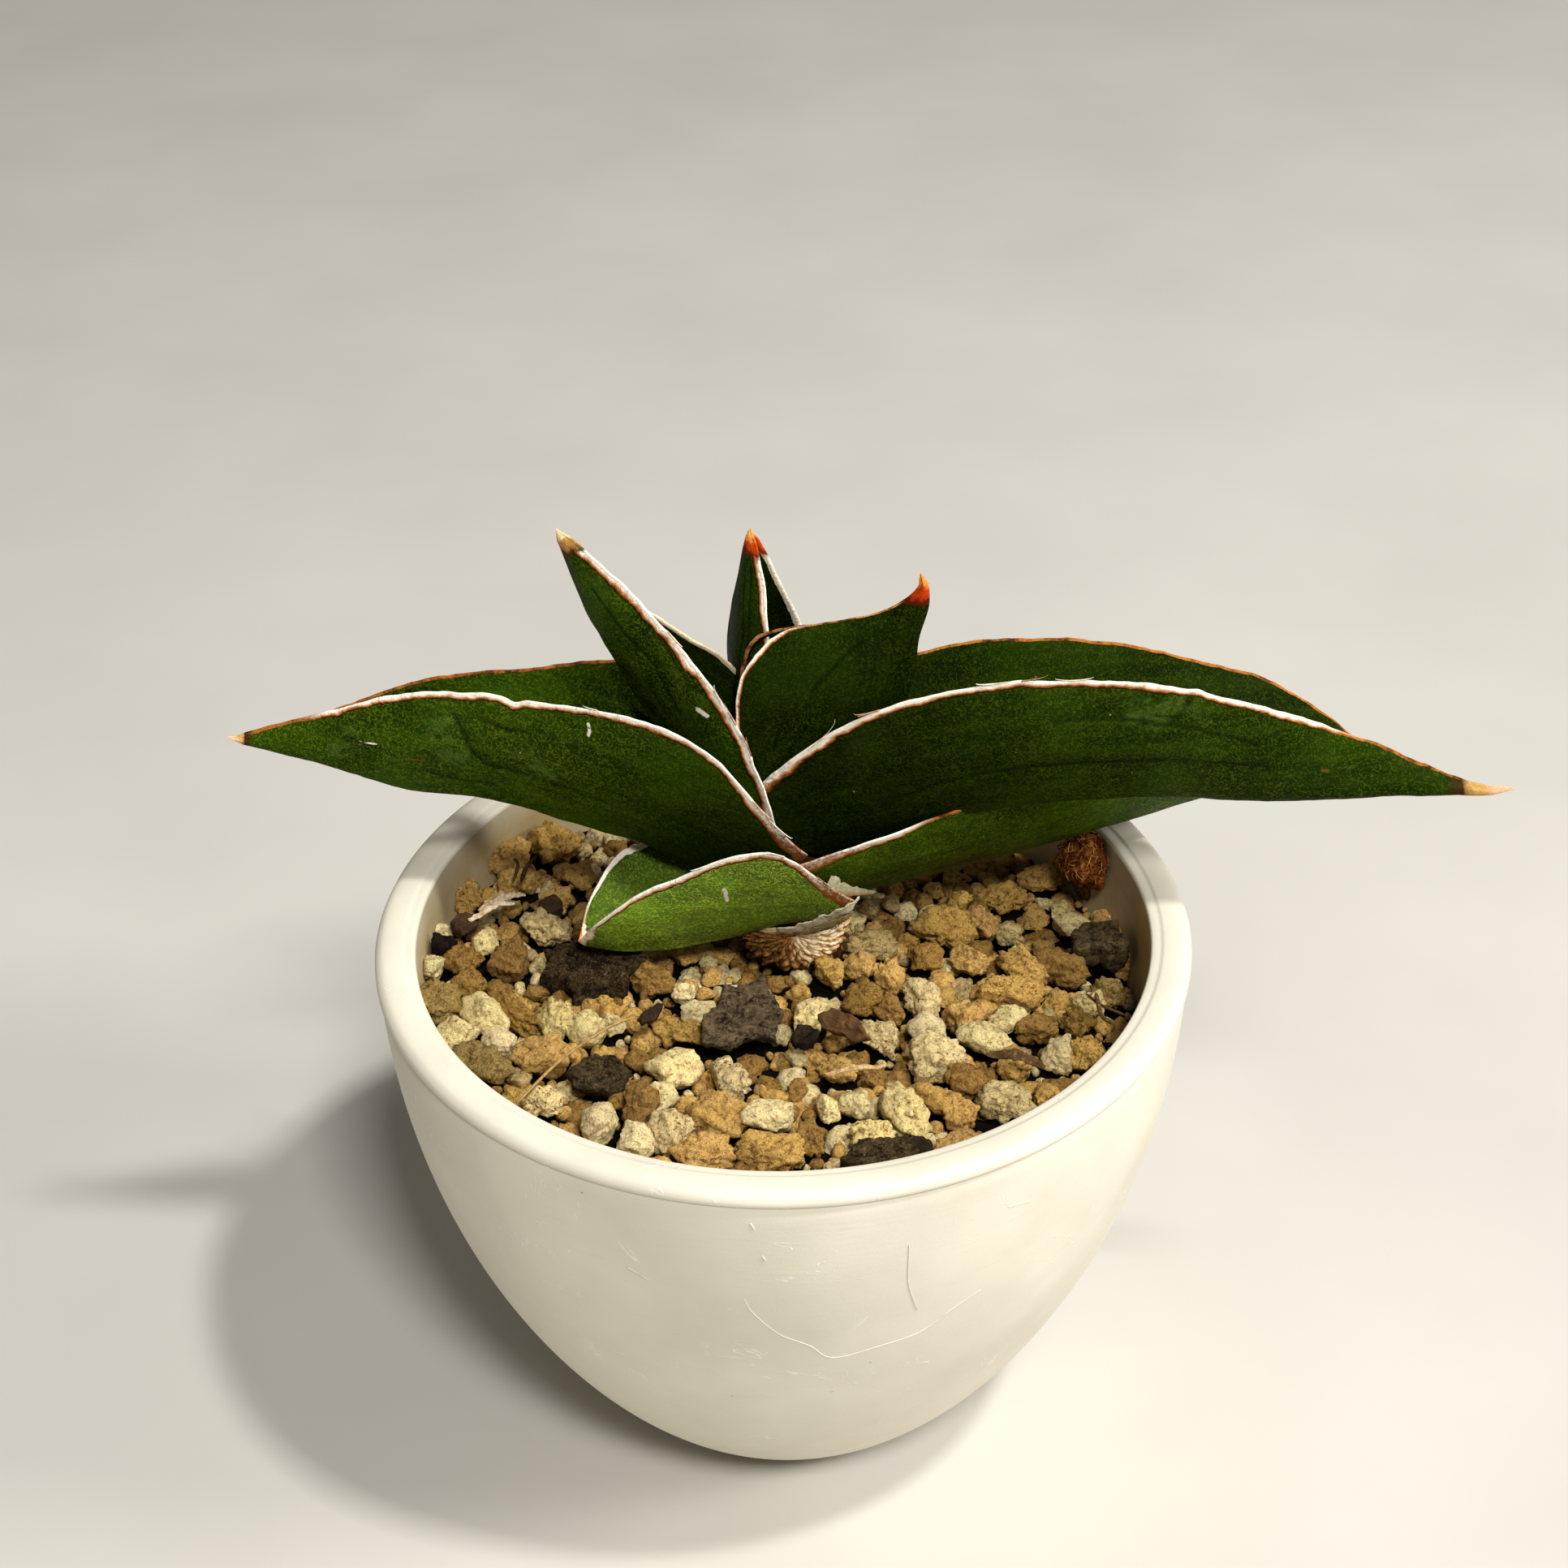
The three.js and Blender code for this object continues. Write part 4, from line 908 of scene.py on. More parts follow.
def leaf_ring(leaf, u, depths):
    """One section once round: its points in its own plane and their values."""
    fade = min(max((1 - u) / 0.25, 0), 1) ** 0.6
    squeeze = min(1, (1 - u) / 0.03) ** 0.6
    keel = mix(0.3, leaf["keel"], fade) * squeeze
    edge = mix(0.2, LEAF_MESH["thin"], fade) * squeeze
    flesh = mix(0.3, leaf["flesh"], fade) * squeeze
    wings = []
    for sign, depth in zip((1, -1), depths):
        depth = max(depth - LEAF_MESH["reach"], 0.1) * (squeeze if u > 0.97 else 1)
        points, share, away, valley = wing_outline(leaf, u, depth, keel, edge, flesh, squeeze)
        values, sunk = wing_values(leaf, u, sign == leaf["front"], share, away, depth)
        points[:, 1] = (points[:, 1] - sunk) * sign
        wings.append((points, values, valley))
    (left, left_values, left_valley), (right, right_values, right_valley) = wings
    ring = np.concatenate([[[-keel, 0]], right, [[min(left_valley, right_valley), 0]], left[::-1]])
    return ring, np.concatenate([[OUTSIDE], right_values, [INSIDE], left_values[::-1]])


def leaf_stations(leaf):
    """Where along a leaf its sections are, closer together towards the tip."""
    count = int(leaf["length"] / LEAF_MESH["spacing"]) + 20
    return 1 - (1 - np.linspace(0, 0.998, count)) ** 1.15


def leaf_rings(leaf):
    """All the sections of a leaf in space, with their values."""
    u = leaf_stations(leaf)
    along, inward, side = keel_frames(leaf, u)
    leaf["front"] = 1 if side[0][1] < 0 else -1
    swept, until = leaf["sweep"]
    sweep = np.radians(swept) * np.clip(1 - u / until, 0, 1) ** 1.5
    roll = np.radians(leaf["turn"][0] + leaf["turn"][1] * u**2)
    up = inward * np.cos(sweep)[:, None] - along * np.sin(sweep)[:, None]
    opening = up * np.cos(roll)[:, None] + side * np.sin(roll)[:, None]
    across = side * np.cos(roll)[:, None] - up * np.sin(roll)[:, None]
    bulge = waves_at(leaf, u)
    origin = keel_curve(leaf, u) - opening * bulge[:, :1]
    depth = wing_depth(leaf, u) + bulge[:, 0]
    front = depth + bulge[:, 1] + margin_wear(leaf, u, 0)
    back = depth + bulge[:, 2] + margin_wear(leaf, u, 1)
    rings, values = [], []
    for i, place in enumerate(u):
        depths = [front[i], back[i]] if leaf["front"] > 0 else [back[i], front[i]]
        ring, numbers = leaf_ring(leaf, place, depths)
        rings.append(origin[i] + np.outer(ring[:, 0], opening[i]) + np.outer(ring[:, 1], across[i]))
        values.append(np.column_stack([numbers, np.full(len(ring), place * leaf["length"])]))
    return np.array(rings), np.array(values)


def leaf_piece(leaf):
    rings, values = leaf_rings(leaf)
    count, size = rings.shape[:2]
    leaf["margin"] = rings[:, margin_column(leaf)]
    points = np.concatenate([rings.reshape(-1, 3), keel_curve(leaf, np.array([1.0]))])
    numbers = np.concatenate([values.reshape(-1, len(VALUES)), [[*OUTSIDE, leaf["length"]]]])
    points[:-1] += 0.06 * uneven(points[:-1], 6, 7)[:, None]
    faces = grid_faces(count, size)
    faces += fan(len(points) - 1, range((count - 1) * size, count * size))
    faces.append(tuple(range(size))[::-1])
    marks = dict(zip(VALUES, numbers.T))
    marks["edge"] = np.clip(marks["edge"], -6, 6)
    marks["tip"] = leaf["length"] - marks["along"]
    piece("fine_" + leaf["name"], points, faces, leaf_material(leaf), "leaf", (leaf["name"],), marks)


def margin_column(leaf):
    """Which point of a ring lies in the middle of the front margin."""
    mesh = LEAF_MESH
    place = mesh["keel"] - 1 + mesh["skin"] + mesh["edge"] // 2
    half = mesh["keel"] - 1 + mesh["skin"] + mesh["edge"] + mesh["inner"]
    return 1 + 2 * half - place if leaf["front"] > 0 else 1 + place


def frays():
    """Torn fibres on the front margins."""
    heap = Heap()
    draw = np.random.default_rng(21)
    leaves = {leaf["name"]: leaf for leaf in LEAVES}
    for name, torn in FRAYS.items():
        for fray in torn:
            add_fray(heap, draw, leaves[name], *fray)
    codes = ["#6a3a1a", "#b07444", "#e0c7a4", "#f4ece0"]
    heap.piece("margin_frays", fibre_material("frays", codes), "dry_fibre")


def add_fray(heap, draw, leaf, place, length, lift, shade):
    """Two strands that leave the front margin together."""
    margin = leaf["margin"]
    at = int(np.argmin(np.abs(leaf_stations(leaf) - place)))
    ahead = unit(margin[at + 3] - margin[at - 3])
    for strand in range(2):
        turn = draw.choice([-1, 1]) * ahead
        out = (np.array([0, -0.5, 0.6]) + draw.normal(0, 0.35, 3)) * lift
        start = margin[at] - turn * 0.5
        bends = ((0, 0), (0.5, 0.35), (0.85, 1), (0.9, 1.5))
        path = curved([start + turn * length * a + out * b for a, b in bends], 12)
        width = draw.uniform(0.1, 0.2) * np.linspace(1, 0.25, 12)
        heap.add(*tube(path, width, 0.45, 5), shade=shade * draw.uniform(0.8, 1.1))


# Gravel.
def bed_height(x, y):
    """The gravel's level at a place."""
    px, py, deep, reach = BED["dip"]
    hollow = deep * np.exp(-((x - px) ** 2 + (y - py) ** 2) / reach**2)
    px, py, high, reach = BED["rise"]
    mound = high * np.exp(-((x - px) ** 2 + (y - py) ** 2) / reach**2)
    return BED["level"] + BED["slope"][0] * x + BED["slope"][1] * y - hollow + mound


def bowl(side, depth):
    """The radius of the pot's outside or inside, by the share of the way down from its rim to its foot."""
    rim, foot = POT[side]
    power, root = POT["curve"]
    return foot + (rim - foot) * (1 - depth**power) ** root


def wall_radius(z):
    """The pot's inner radius at a height."""
    return bowl("inside", np.clip((POT["height"] - z) / (POT["height"] - POT["floor"]), 0, 1))


def drawn_in(points, limit):
    """Moves points in until they are no further than the limit from the pot's axis."""
    reach = np.hypot(points[:, 0], points[:, 1])
    points[:, :2] *= np.minimum(1, limit / np.maximum(reach, 1e-6))[:, None]


def ball(detail):
    """A ball's points and triangles."""
    shape = bmesh.new()
    bmesh.ops.create_icosphere(shape, subdivisions=detail, radius=1)
    points = np.array([vert.co[:] for vert in shape.verts])
    faces = [tuple(vert.index for vert in face.verts) for face in shape.faces]
    shape.free()
    return points, faces


BALLS = {detail: ball(detail) for detail in (2, 3, 4)}


def stone_shape(detail, seed, crumbly):
    """A broken, crumbly stone, about one unit in radius: a ball cut by planes, with bumps on it."""
    draw = np.random.default_rng(seed)
    points, faces = BALLS[detail]
    cuts = unit(draw.normal(size=(10, 3)))
    depth = draw.uniform(0.55, 0.95, len(cuts))
    facing = points @ cuts.T
    reach = np.where(facing > 0.05, depth / np.maximum(facing, 0.05), 9)
    blunt = 38.0
    radius = -np.log(np.exp(-blunt * reach).sum(1) + math.exp(-blunt)) / blunt
    radius += 0.06 * uneven(points, 1.2, seed, 2)
    if detail > 2:
        radius += crumbly * (0.1 * np.abs(uneven(points, 0.7, seed + 1, 2)) - 0.06)
        radius += crumbly * 0.055 * np.tanh(1.6 * uneven(points, 0.36, seed + 2, 2))
    if detail > 3:
        radius += crumbly * 0.034 * np.tanh(1.8 * uneven(points, 0.2, seed + 3, 2))
    return points * radius[:, None], faces


def add_stone(heap, stone, detail, seed):
    """Adds one stone, turned at random and kept inside the pot's wall."""
    x, y, z, length, width, height, turn, kind = stone
    draw = np.random.default_rng(seed)
    code, pits, crumbly = KINDS[kind]
    points, faces = stone_shape(detail, seed, crumbly)
    points = turned(turned(points, draw.uniform(0, 360), "X"), draw.uniform(0, 360), "Y")
    points = points * np.array([length, width, height]) * 0.55
    points = turned(turned(points, draw.uniform(-14, 14), "X"), turn) + [x, y, z]
    drawn_in(points, wall_radius(points[:, 2]) - 0.1)
    bright = draw.uniform(0.98, 1.26)
    tint = np.array(paint(code)) * bright * [1, draw.uniform(0.96, 1.0), draw.uniform(0.7, 0.86)]
    heap.add(points, faces, tint=tint, pits=pits * draw.uniform(0.5, 1.1))


def listed_stones():
    """The larger stones: place, length, width, height, turn and kind."""
    stones = []
    for row in STONES.replace("\n", " ").split(";"):
        *numbers, kind = row.split()
        x, y, length, width, turn = map(float, numbers)
        height = 0.85 * 1.25 * width
        z = bed_height(x, y) + 0.15 * height
        stones.append((x, y, z, SWELL * length, SWELL * width, height, turn, kind))
    return stones


def chip_cover(x, y):
    """Whether a place lies under a loose piece."""
    covered = np.zeros(np.shape(x), dtype=bool)
    for chip in CHIPS:
        dx, dy = x - chip["at"][0], y - chip["at"][1]
        turn = math.radians(-chip["turn"])
        u = dx * math.cos(turn) - dy * math.sin(turn)
        v = dx * math.sin(turn) + dy * math.cos(turn)
        covered |= (2 * u / chip["size"][0]) ** 2 + (2 * v / chip["size"][1]) ** 2 < 0.8
    return covered


def settle(stones, count, sizes, seed, lowest, highest):
    """Lets more stones down one after another, each where it comes to rest lowest out of some places.

    The sizes are the first and the last stone's radius. Lowest and highest are how far under and over the
    bed's level they may lie. Gives each one's place and radius."""
    draw = np.random.default_rng(seed)
    tries = 60
    placed = [(s[0], s[1], s[2], (s[3] + s[4] + s[5]) / 6) for s in stones]
    made = []
    for i in range(count):
        radius = mix(sizes[0], sizes[1], (i / count) ** 0.6)
        angle = draw.uniform(0, 2 * math.pi, tries)
        distance = np.sqrt(draw.uniform(0, 1, tries)) * (BED["radius"] - radius)
        x, y = distance * np.cos(angle), distance * np.sin(angle)
        others = np.array(placed)
        apart = (x[:, None] - others[:, 0]) ** 2 + (y[:, None] - others[:, 1]) ** 2
        touch = (0.86 * (radius + others[:, 3])) ** 2
        on_top = np.where(apart < touch, others[:, 2] + np.sqrt(np.maximum(touch - apart, 0)), -9)
        floor = bed_height(x, y) + lowest
        z = np.maximum(on_top.max(1), floor)
        z = z + np.where(np.hypot(x - STEM["middle"][0], y - STEM["middle"][1]) < 5.5 + radius, 99, 0)
        top = bed_height(x, y) + np.where(chip_cover(x, y), -1.5, highest)
        z = z + np.where(z + radius > top, 50, 0)
        best = int(np.argmin(z - bed_height(x, y)))
        if z[best] > 90:
            continue
        placed.append((x[best], y[best], z[best], radius))
        made.append((x[best], y[best], z[best], radius))
    return made


def small_stone(draw, place, low, high, shape):
    """A stone at a settled place, with a size, a turn and a kind of its own."""
    x, y, z, radius = place
    size = 2 * radius * draw.uniform(low, high, 3) * shape
    return (x, y, z, *size, draw.uniform(0, 180), SMALL_KINDS[int(draw.integers(len(SMALL_KINDS)))])


def gravel():
    """The larger stones, the ones that fill the gaps among them, and crumbs."""
    material = stone_material()
    larger = listed_stones()
    heap = Heap()
    for i, stone in enumerate(larger):
        add_stone(heap, stone, 4, 100 + i)
    heap.piece("gravel_stones", material, "gravel", ("soil",))
    draw = np.random.default_rng(3)
    fill = settle(larger, 430, (2.5, 1.3), 17, -2.4, 3.0)
    for part in range(2):
        heap = Heap()
        for i in range(part, len(fill), 2):
            stone = small_stone(draw, fill[i], 0.9, 1.1, [1.12, 0.98, 0.92])
            add_stone(heap, stone, 4 if i < 80 else 3, 1000 + i)
        heap.piece(f"gravel_fill_{part + 1}", material, "gravel", ("soil",))
    placed = larger + [(x, y, z, 2 * r, 2 * r, 2 * r) for x, y, z, r in fill]
    heap = Heap()
    for i, place in enumerate(settle(placed, 420, (1.2, 0.5), 23, -1.5, 2.0)):
        add_stone(heap, small_stone(draw, place, 0.85, 1.15, [1, 1, 1]), 2, 3000 + i)
    heap.piece("gravel_crumbs", material, "gravel", ("soil",))


def fines():
    """The fill under the stones, down to the pot's floor, painted near black as the shade in the gaps between
    them.
    """
    angles = circle(96)
    bottom, sunk = 5.6, 2.2
    rings = [level_ring(angles, wall_radius(height) - 0.3, height) for height in np.linspace(bottom, 60, 9)]
    for radius in np.linspace(46.6, 1.0, 40):
        points = level_ring(angles, radius, 0)
        points[:, 2] = bed_height(points[:, 0], points[:, 1]) - sunk
        points[:, 2] += 0.7 * uneven(points, 3.5, 5)
        rings.append(points)
    points, faces = capped(rings, (0, 0, bottom), (0, 0, bed_height(0, 0) - sunk))
    piece("gravel_fines", points, faces, fines_shade_material(), "gravel", ("soil",))


# Pot.
def wall_side(side, bottom, gap, count):
    """Radius and height up the outside or the inside of the wall, to a gap under the rim."""
    tall = POT["height"] - bottom
    points = []
    for share in np.linspace(0, 1, count):
        depth = 1 - (1 - gap / tall) * share**1.7
        points.append((bowl(side, depth), bottom + tall * (1 - depth)))
    return points


def pot():
    """The wall from the middle of the underside round to the middle of the floor, with its drain holes."""
    outer = POT["underside"] + wall_side("outside", 0, 2.2, 49) + POT["lip"]
    inner = wall_side("inside", POT["floor"], 1.2, 33)[::-1] + POT["middle"]
    angles = circle(224)
    columns = len(angles)
    rings = [level_ring(angles, radius, height) for radius, height in outer + inner]
    points = np.concatenate(rings)
    faces = grid_faces(len(rings), columns)
    last = len(points) - columns
    faces += [(last + i, last + (i + 1) % columns, (i + 1) % columns, i) for i in range(columns)]
    inside = np.repeat([0] * len(outer) + [1] * len(inner), columns)
    inside_darkening = inside * mix(1, 0.55, smooth(points[:, 2], 70, 74.6))
    body = piece("fine_pot", points, faces, pot_material(), "pot", ("pot",), dict(inside=inside_darkening))
    for x, y in POT["holes"]:
        drill(body, x, y)


def drill(body, x, y):
    """Cuts one drain hole through the pot's floor."""
    place = (x / 1000, y / 1000, 0.003)
    bpy.ops.mesh.primitive_cylinder_add(vertices=32, radius=POT["hole"] / 1000, depth=0.02, location=place)
    cutter = bpy.context.object
    cut = body.modifiers.new("hole", "BOOLEAN")
    cut.operation = "DIFFERENCE"
    cut.object = cutter
    bpy.context.view_layer.update()
    whole = body.evaluated_get(bpy.context.evaluated_depsgraph_get())
    mesh = bpy.data.meshes.new_from_object(whole)
    body.modifiers.clear()
    body.data = mesh
    bpy.data.objects.remove(cutter)


# Stem foot.
def stem():
    """The ribbed stem, with the shreds and papery sheaths of old leaves at its foot."""
    angles = circle(90)
    rings = []
    for height in np.linspace(58, 86, 60):
        radius = np.interp(height, *np.transpose(STEM["radii"]))
        rib = 1 + 0.05 * np.sin(5 * angles + height) + 0.03 * np.sin(8 * angles - 2 * height)
        rib += 0.03 * np.sin(31 * angles + 0.8 * height)
        rings.append(level_ring(angles, radius * rib, height, STEM["middle"]))
    points, faces = capped(rings, (*STEM["middle"], STEM["bottom"]), (*STEM["middle"], STEM["top"]))
    points += 0.18 * uneven(points, 1.6, 9)[:, None]
    dry = fibre_material("dry_base", ["#1c0e06", "#4a2c14", "#8a6238"], 0.9)
    piece("fine_stem", points, faces, dry, "dry_fibre", ("stem",), dict(shade=np.full(len(points), 0.35)))
    stem_shreds()
    sheaths()


def round_stem(radius, angle, height):
    x, y = STEM["middle"]
    return np.array([x + radius * math.cos(angle), y + radius * math.sin(angle), height])


def on_stem(across, down, lift=0.0):
    """A point on the stem's front, by millimetres round it and down from where the fan starts."""
    x, y = STEM["middle"]
    radius = FAN["radius"] + lift
    turn = across / FAN["radius"]
    aside, ahead = radius * math.sin(turn), radius * math.cos(turn)
    return np.array([x + FAN["lean"] + aside, y - ahead, FAN["top"] - down])


def stem_shreds():
    """Old leaf bases in shreds: strands all round that lean out and down, and a fan on the stem's front."""
    draw = np.random.default_rng(12)
    heap = Heap()
    for i in range(230):
        side_strand(heap, draw)
    heap.add(*fan_sheet(), shade=fan_tone_and_painted_shade())
    for i in range(90):
        fan_strand(heap, draw)
    top = [(-7.4, 2.4), (-5, 1.3), (-2.2, 0.5), (0, 0.1), (2.6, 0), (5, 0.1), (7.6, 0.2)]
    for rise, width, shade in ((0, 0.22, 0.42), (-0.4, 0.3, 0.75), (-0.8, 0.3, 0.85)):
        path = curved([on_stem(across, down + rise, 0.7 + 0.2 * rise) for across, down in top], 40)
        heap.add(*tube(path, width * (1 + 0.3 * uneven(path, 2, 4)), 0.6, 6, (0, -1, 0)), shade=shade)
    codes = ["#120a04", "#4c3016", "#8e6230", "#c2a272", "#e8d8b6"]
    heap.piece("stem_shreds", fibre_material("shreds", codes), "dry_fibre")


def side_strand(heap, draw):
    """One strand that leans out from the stem and down."""
    angle = draw.uniform(0, 2 * math.pi)
    start = round_stem(4.9, angle, draw.uniform(70.2, 72.6))
    out = draw.uniform(6.4, 7.4)
    end = round_stem(out, angle + draw.normal(0, 0.18), draw.uniform(66.5, 69))
    bend = (start + end) / 2 + [0, 0, draw.uniform(-0.2, 0.7)] + draw.normal(0, 0.25, 3)
    width = draw.uniform(0.12, 0.3) * np.linspace(1, 0.3, 9)
    heap.add(*tube(curved([start, bend, end], 9), width, 0.4, 5), shade=draw.uniform(0.05, 0.7))


def fan_ridge(angle, share):
    """How high the crumpled fan stands at a place, from -1 in its creases to 1 on its ridges."""
    wander = 1.3 * np.sin(5 * share + 3 * angle) + 1.2 * np.sin(13 * share - 7 * angle)
    crinkle = 0.9 * np.sin(27 * share + 9 * angle)
    broad = np.sin(24 * angle + wander + crinkle)
    return 0.55 * broad + 0.45 * np.sin(57 * angle + 2.1 * wander - crinkle)


def fan_grid():
    """Places on the fan: the angle round it and the share of the way out."""
    return np.meshgrid(np.linspace(0.02, math.pi - 0.02, 150), np.linspace(0.06, 1, 26))


def fan_sheet():
    """A papery old leaf base, crumpled into ridges that spread from the middle."""
    angle, share = fan_grid()
    ridge = fan_ridge(angle, share)
    reach = share * (1 + 0.07 * np.sin(23 * angle) * share)
    across = FAN["spread"] * reach * np.cos(angle)
    down = 0.4 + FAN["drop"] * reach * np.sin(angle)
    lift = 0.3 + 1.1 * np.sin(math.pi * 0.55 * share) + 0.3 * ridge * (0.3 + share)
    grid = [[on_stem(a, d, h) for a, d, h in zip(*row)] for row in zip(across, down, lift)]
    return sheet(np.array(grid), 0.25)


def fan_tone_and_painted_shade():
    """The fan's shade at each point: painted shade in the creases and painted light on the ridges, brown at
    the left and cream at the right, and darker towards the outer edge.
    """
    angle, share = fan_grid()
    pale = smooth(np.cos(angle), -0.35, 0.5)
    # Painted light and shade: lighter on the ridges and darker in the creases.
    shade = mix(0.28, 0.7, pale) + mix(0.2, 0.34, pale) * fan_ridge(angle, share)
    shade = (shade - 0.25 * smooth(share, 0.75, 1.0)).ravel()
    return np.concatenate([shade, shade])


def fan_strand(heap, draw):
    """One crinkled strand of the fan, paler towards the right."""
    angle = math.pi * draw.uniform(0.02, 0.98)
    inner, outer = draw.uniform(0.1, 0.55), draw.uniform(0.7, 1.08)
    wave, phase = draw.uniform(0.12, 0.3), draw.uniform(0, 6)
    path = []
    for share in np.linspace(inner, outer, 14):
        swing = angle + wave * math.sin(9 * share + phase) * share * 0.5
        across = FAN["spread"] * share * math.cos(swing)
        down = 0.6 + FAN["drop"] * share * math.sin(swing)
        path.append(on_stem(across, down, 0.15 + 0.9 * share * (1 - 0.5 * share) + draw.normal(0, 0.06)))
    pale = smooth(math.cos(angle), -0.3, 0.6)
    shade = mix(draw.uniform(0.0, 0.55), draw.uniform(0.45, 1.05), pale) * draw.choice([1, 1, 1, 0.4])
    width = draw.uniform(0.07, 0.16) * np.linspace(1, 0.5, 14)
    heap.add(*tube(path, width, 1.5, 5, (0, -1, 0)), shade=shade)


def sheaths():
    """Papery remains of old leaves at the feet of the two lowest leaves."""
    heap = Heap()
    low = [(-0.8, -0.2, 73.6), (1.9, -0.7, 74.3), (4, -1.4, 75.6), (6.4, -2.2, 77.3), (8.6, -2.6, 79),
           (9.8, -1.6, 79.6)]
    path = curved(low, 30)
    half = 0.95 * np.sin(np.linspace(0.35, math.pi - 0.25, 30)) * (1 + 0.25 * uneven(path, 1.5, 6))
    heap.add(*ribbon(path, half, (0.1, -0.8, -0.4), 5, 0.18), shade=0.82)
    under = path[4:24] + [0.4, 0.3, -1.1]
    heap.add(*ribbon(under, 0.55 * half[4:24], (0.1, -0.8, -0.4), 8, 0.2), shade=0.45)
    high = curved([(5.6, -0.9, 82.2), (7.2, 0.2, 80.8), (9.6, 2.6, 78.6), (12.2, 5.4, 76.4)], 20)
    half = 1.5 * np.linspace(1.0, 0.15, 20)
    shade = np.tile([0.55, 0.6, 0.62, 0.5, 0.3, 0.15], 40)
    heap.add(*ribbon(high + [0, 0.1, -1.2], half, (0.1, -0.8, 0.3), 11, 0.05), shade=shade)
    codes = ["#4a2a12", "#96602e", "#8f8a68", "#b8b094", "#ddd6c4"]
    heap.piece("sheaths", fibre_material("papery", codes, 0.6), "dry_fibre")


# Loose pieces.
def chip_corners(chip):
    """The outline of a chip that has none of its own, as the solids have it."""
    draw = draws(chip["seed"])
    length, width, _ = chip["size"]
    corners = []
    for i in range(9):
        angle = 2 * math.pi * (i + 0.6 * next(draw)) / 9
        reach = 0.82 + 0.2 * next(draw)
        corners.append((length / 2 * reach * math.cos(angle), width / 2 * reach * math.sin(angle)))
    return corners


def slab(chip, rows=12):
    """A jagged broken slab on a chip's outline."""
    corners = np.array(chip.get("outline", chip_corners(chip)), dtype=float)
    after = np.roll(corners, -1, 0)
    edge = np.concatenate([np.linspace(a, b, rows, endpoint=False) for a, b in zip(corners, after)])
    height, seed = chip["size"][2], chip["seed"]
    rings = []
    for share, level in CHIP_LEVELS:
        rings.append(np.column_stack([edge * share, np.full(len(edge), level * height)]))
    points, faces = capped(rings, (0, 0, -height / 2), (0, 0, height / 2))
    flat = points * [1, 1, 0]
    around = flat / (0.3 + np.linalg.norm(flat, axis=1, keepdims=True))
    jagged = 0.07 * uneven(around, 0.9, seed + 1, 3) + 0.06 * uneven(points, 1.1, seed + 2, 3)
    points[:, :2] *= (1 + jagged)[:, None]
    points[:, 2] += (0.16 + 0.08 * height) * uneven(points * [0.8, 1.3, 1], 2.2, seed, 5)
    points[:, 2] += 0.14 * np.abs(uneven(points * [0.7, 1.4, 1], 0.8, seed + 5, 3))
    return turned(turned(points, chip["lean"], "X"), chip["turn"]) + chip["at"], faces


def chip_piece(chip):
    name = chip["name"]
    slot = "dark_bark" if name == "bark_low_left" else "bark"
    piece("fine_" + name, *slab(chip), bark_material(name, *chip["colours"]), slot, (name,))


def flakes():
    heap = Heap()
    for flake in FLAKES:
        heap.add(*slab(flake, 6), shade=flake["shade"])
    codes = ["#0e0a07", "#3a2c1e", "#64462a", "#98764e"]
    heap.piece("flakes", fibre_material("flakes", codes, 1.6), "bark")


def coir_piece():
    """A crumbly lump of coir with short fibres standing out of it."""
    points, faces = BALLS[4]
    rough = 0.1 * uneven(points, 0.9, 71, 2) + 0.14 * np.abs(uneven(points, 0.45, 72, 3))
    points = points * (0.87 + rough + 0.04 * uneven(points, 0.2, 73, 2))[:, None]
    shape = points * COIR["half"] + COIR["at"]
    drawn_in(shape, COIR["limit"])
    heap = Heap()
    heap.add(shape, faces, shade=0.5 + 0.3 * uneven(points, 0.3, 5, 3))
    draw = np.random.default_rng(8)
    outward = unit(points)
    for i in draw.choice(len(points), COIR["fibres"], replace=False):
        if outward[i, 2] >= -0.2:
            coir_fibre(heap, draw, shape[i], outward[i])
    codes = ["#1e0e04", "#623214", "#985a28", "#c4904e"]
    heap.piece("fine_coir_lump", fibre_material("coir", codes, 0.8), "coir", ("coir_lump",))


def coir_fibre(heap, draw, start, outward):
    lie = unit(np.cross(outward, draw.normal(size=3)))
    length = draw.uniform(0.8, 2.2)
    path = curved([start, start + lie * length / 2 + outward * 0.35, start + lie * length + outward * 0.1], 6)
    drawn_in(path, COIR["limit"])
    thin = tube(path, [0.09, 0.09, 0.08, 0.07, 0.06, 0.04], 1, 4)
    heap.add(*thin, shade=draw.uniform(0.2, 1.0))


def litter():
    """Straws, roots and peels that lie on the stones."""
    heap = Heap()
    for radius, shade, *points in STRAWS:
        taper = np.minimum(1, np.minimum(np.arange(20), np.arange(20)[::-1]) / 3 + 0.25)
        heap.add(*tube(curved(points, 20), radius * taper), shade=shade)
    for half, facing, seed, shade, *points in PEELS:
        taper = np.sin(np.linspace(0.25, math.pi - 0.25, 22)) ** 0.6
        heap.add(*ribbon(curved(points, 22), half * taper, facing, seed, 0.3), shade=shade)
    codes = ["#1c120a", "#5a4428", "#b8935c", "#eee4d0"]
    heap.piece("litter", fibre_material("litter", codes), "dry_fibre")


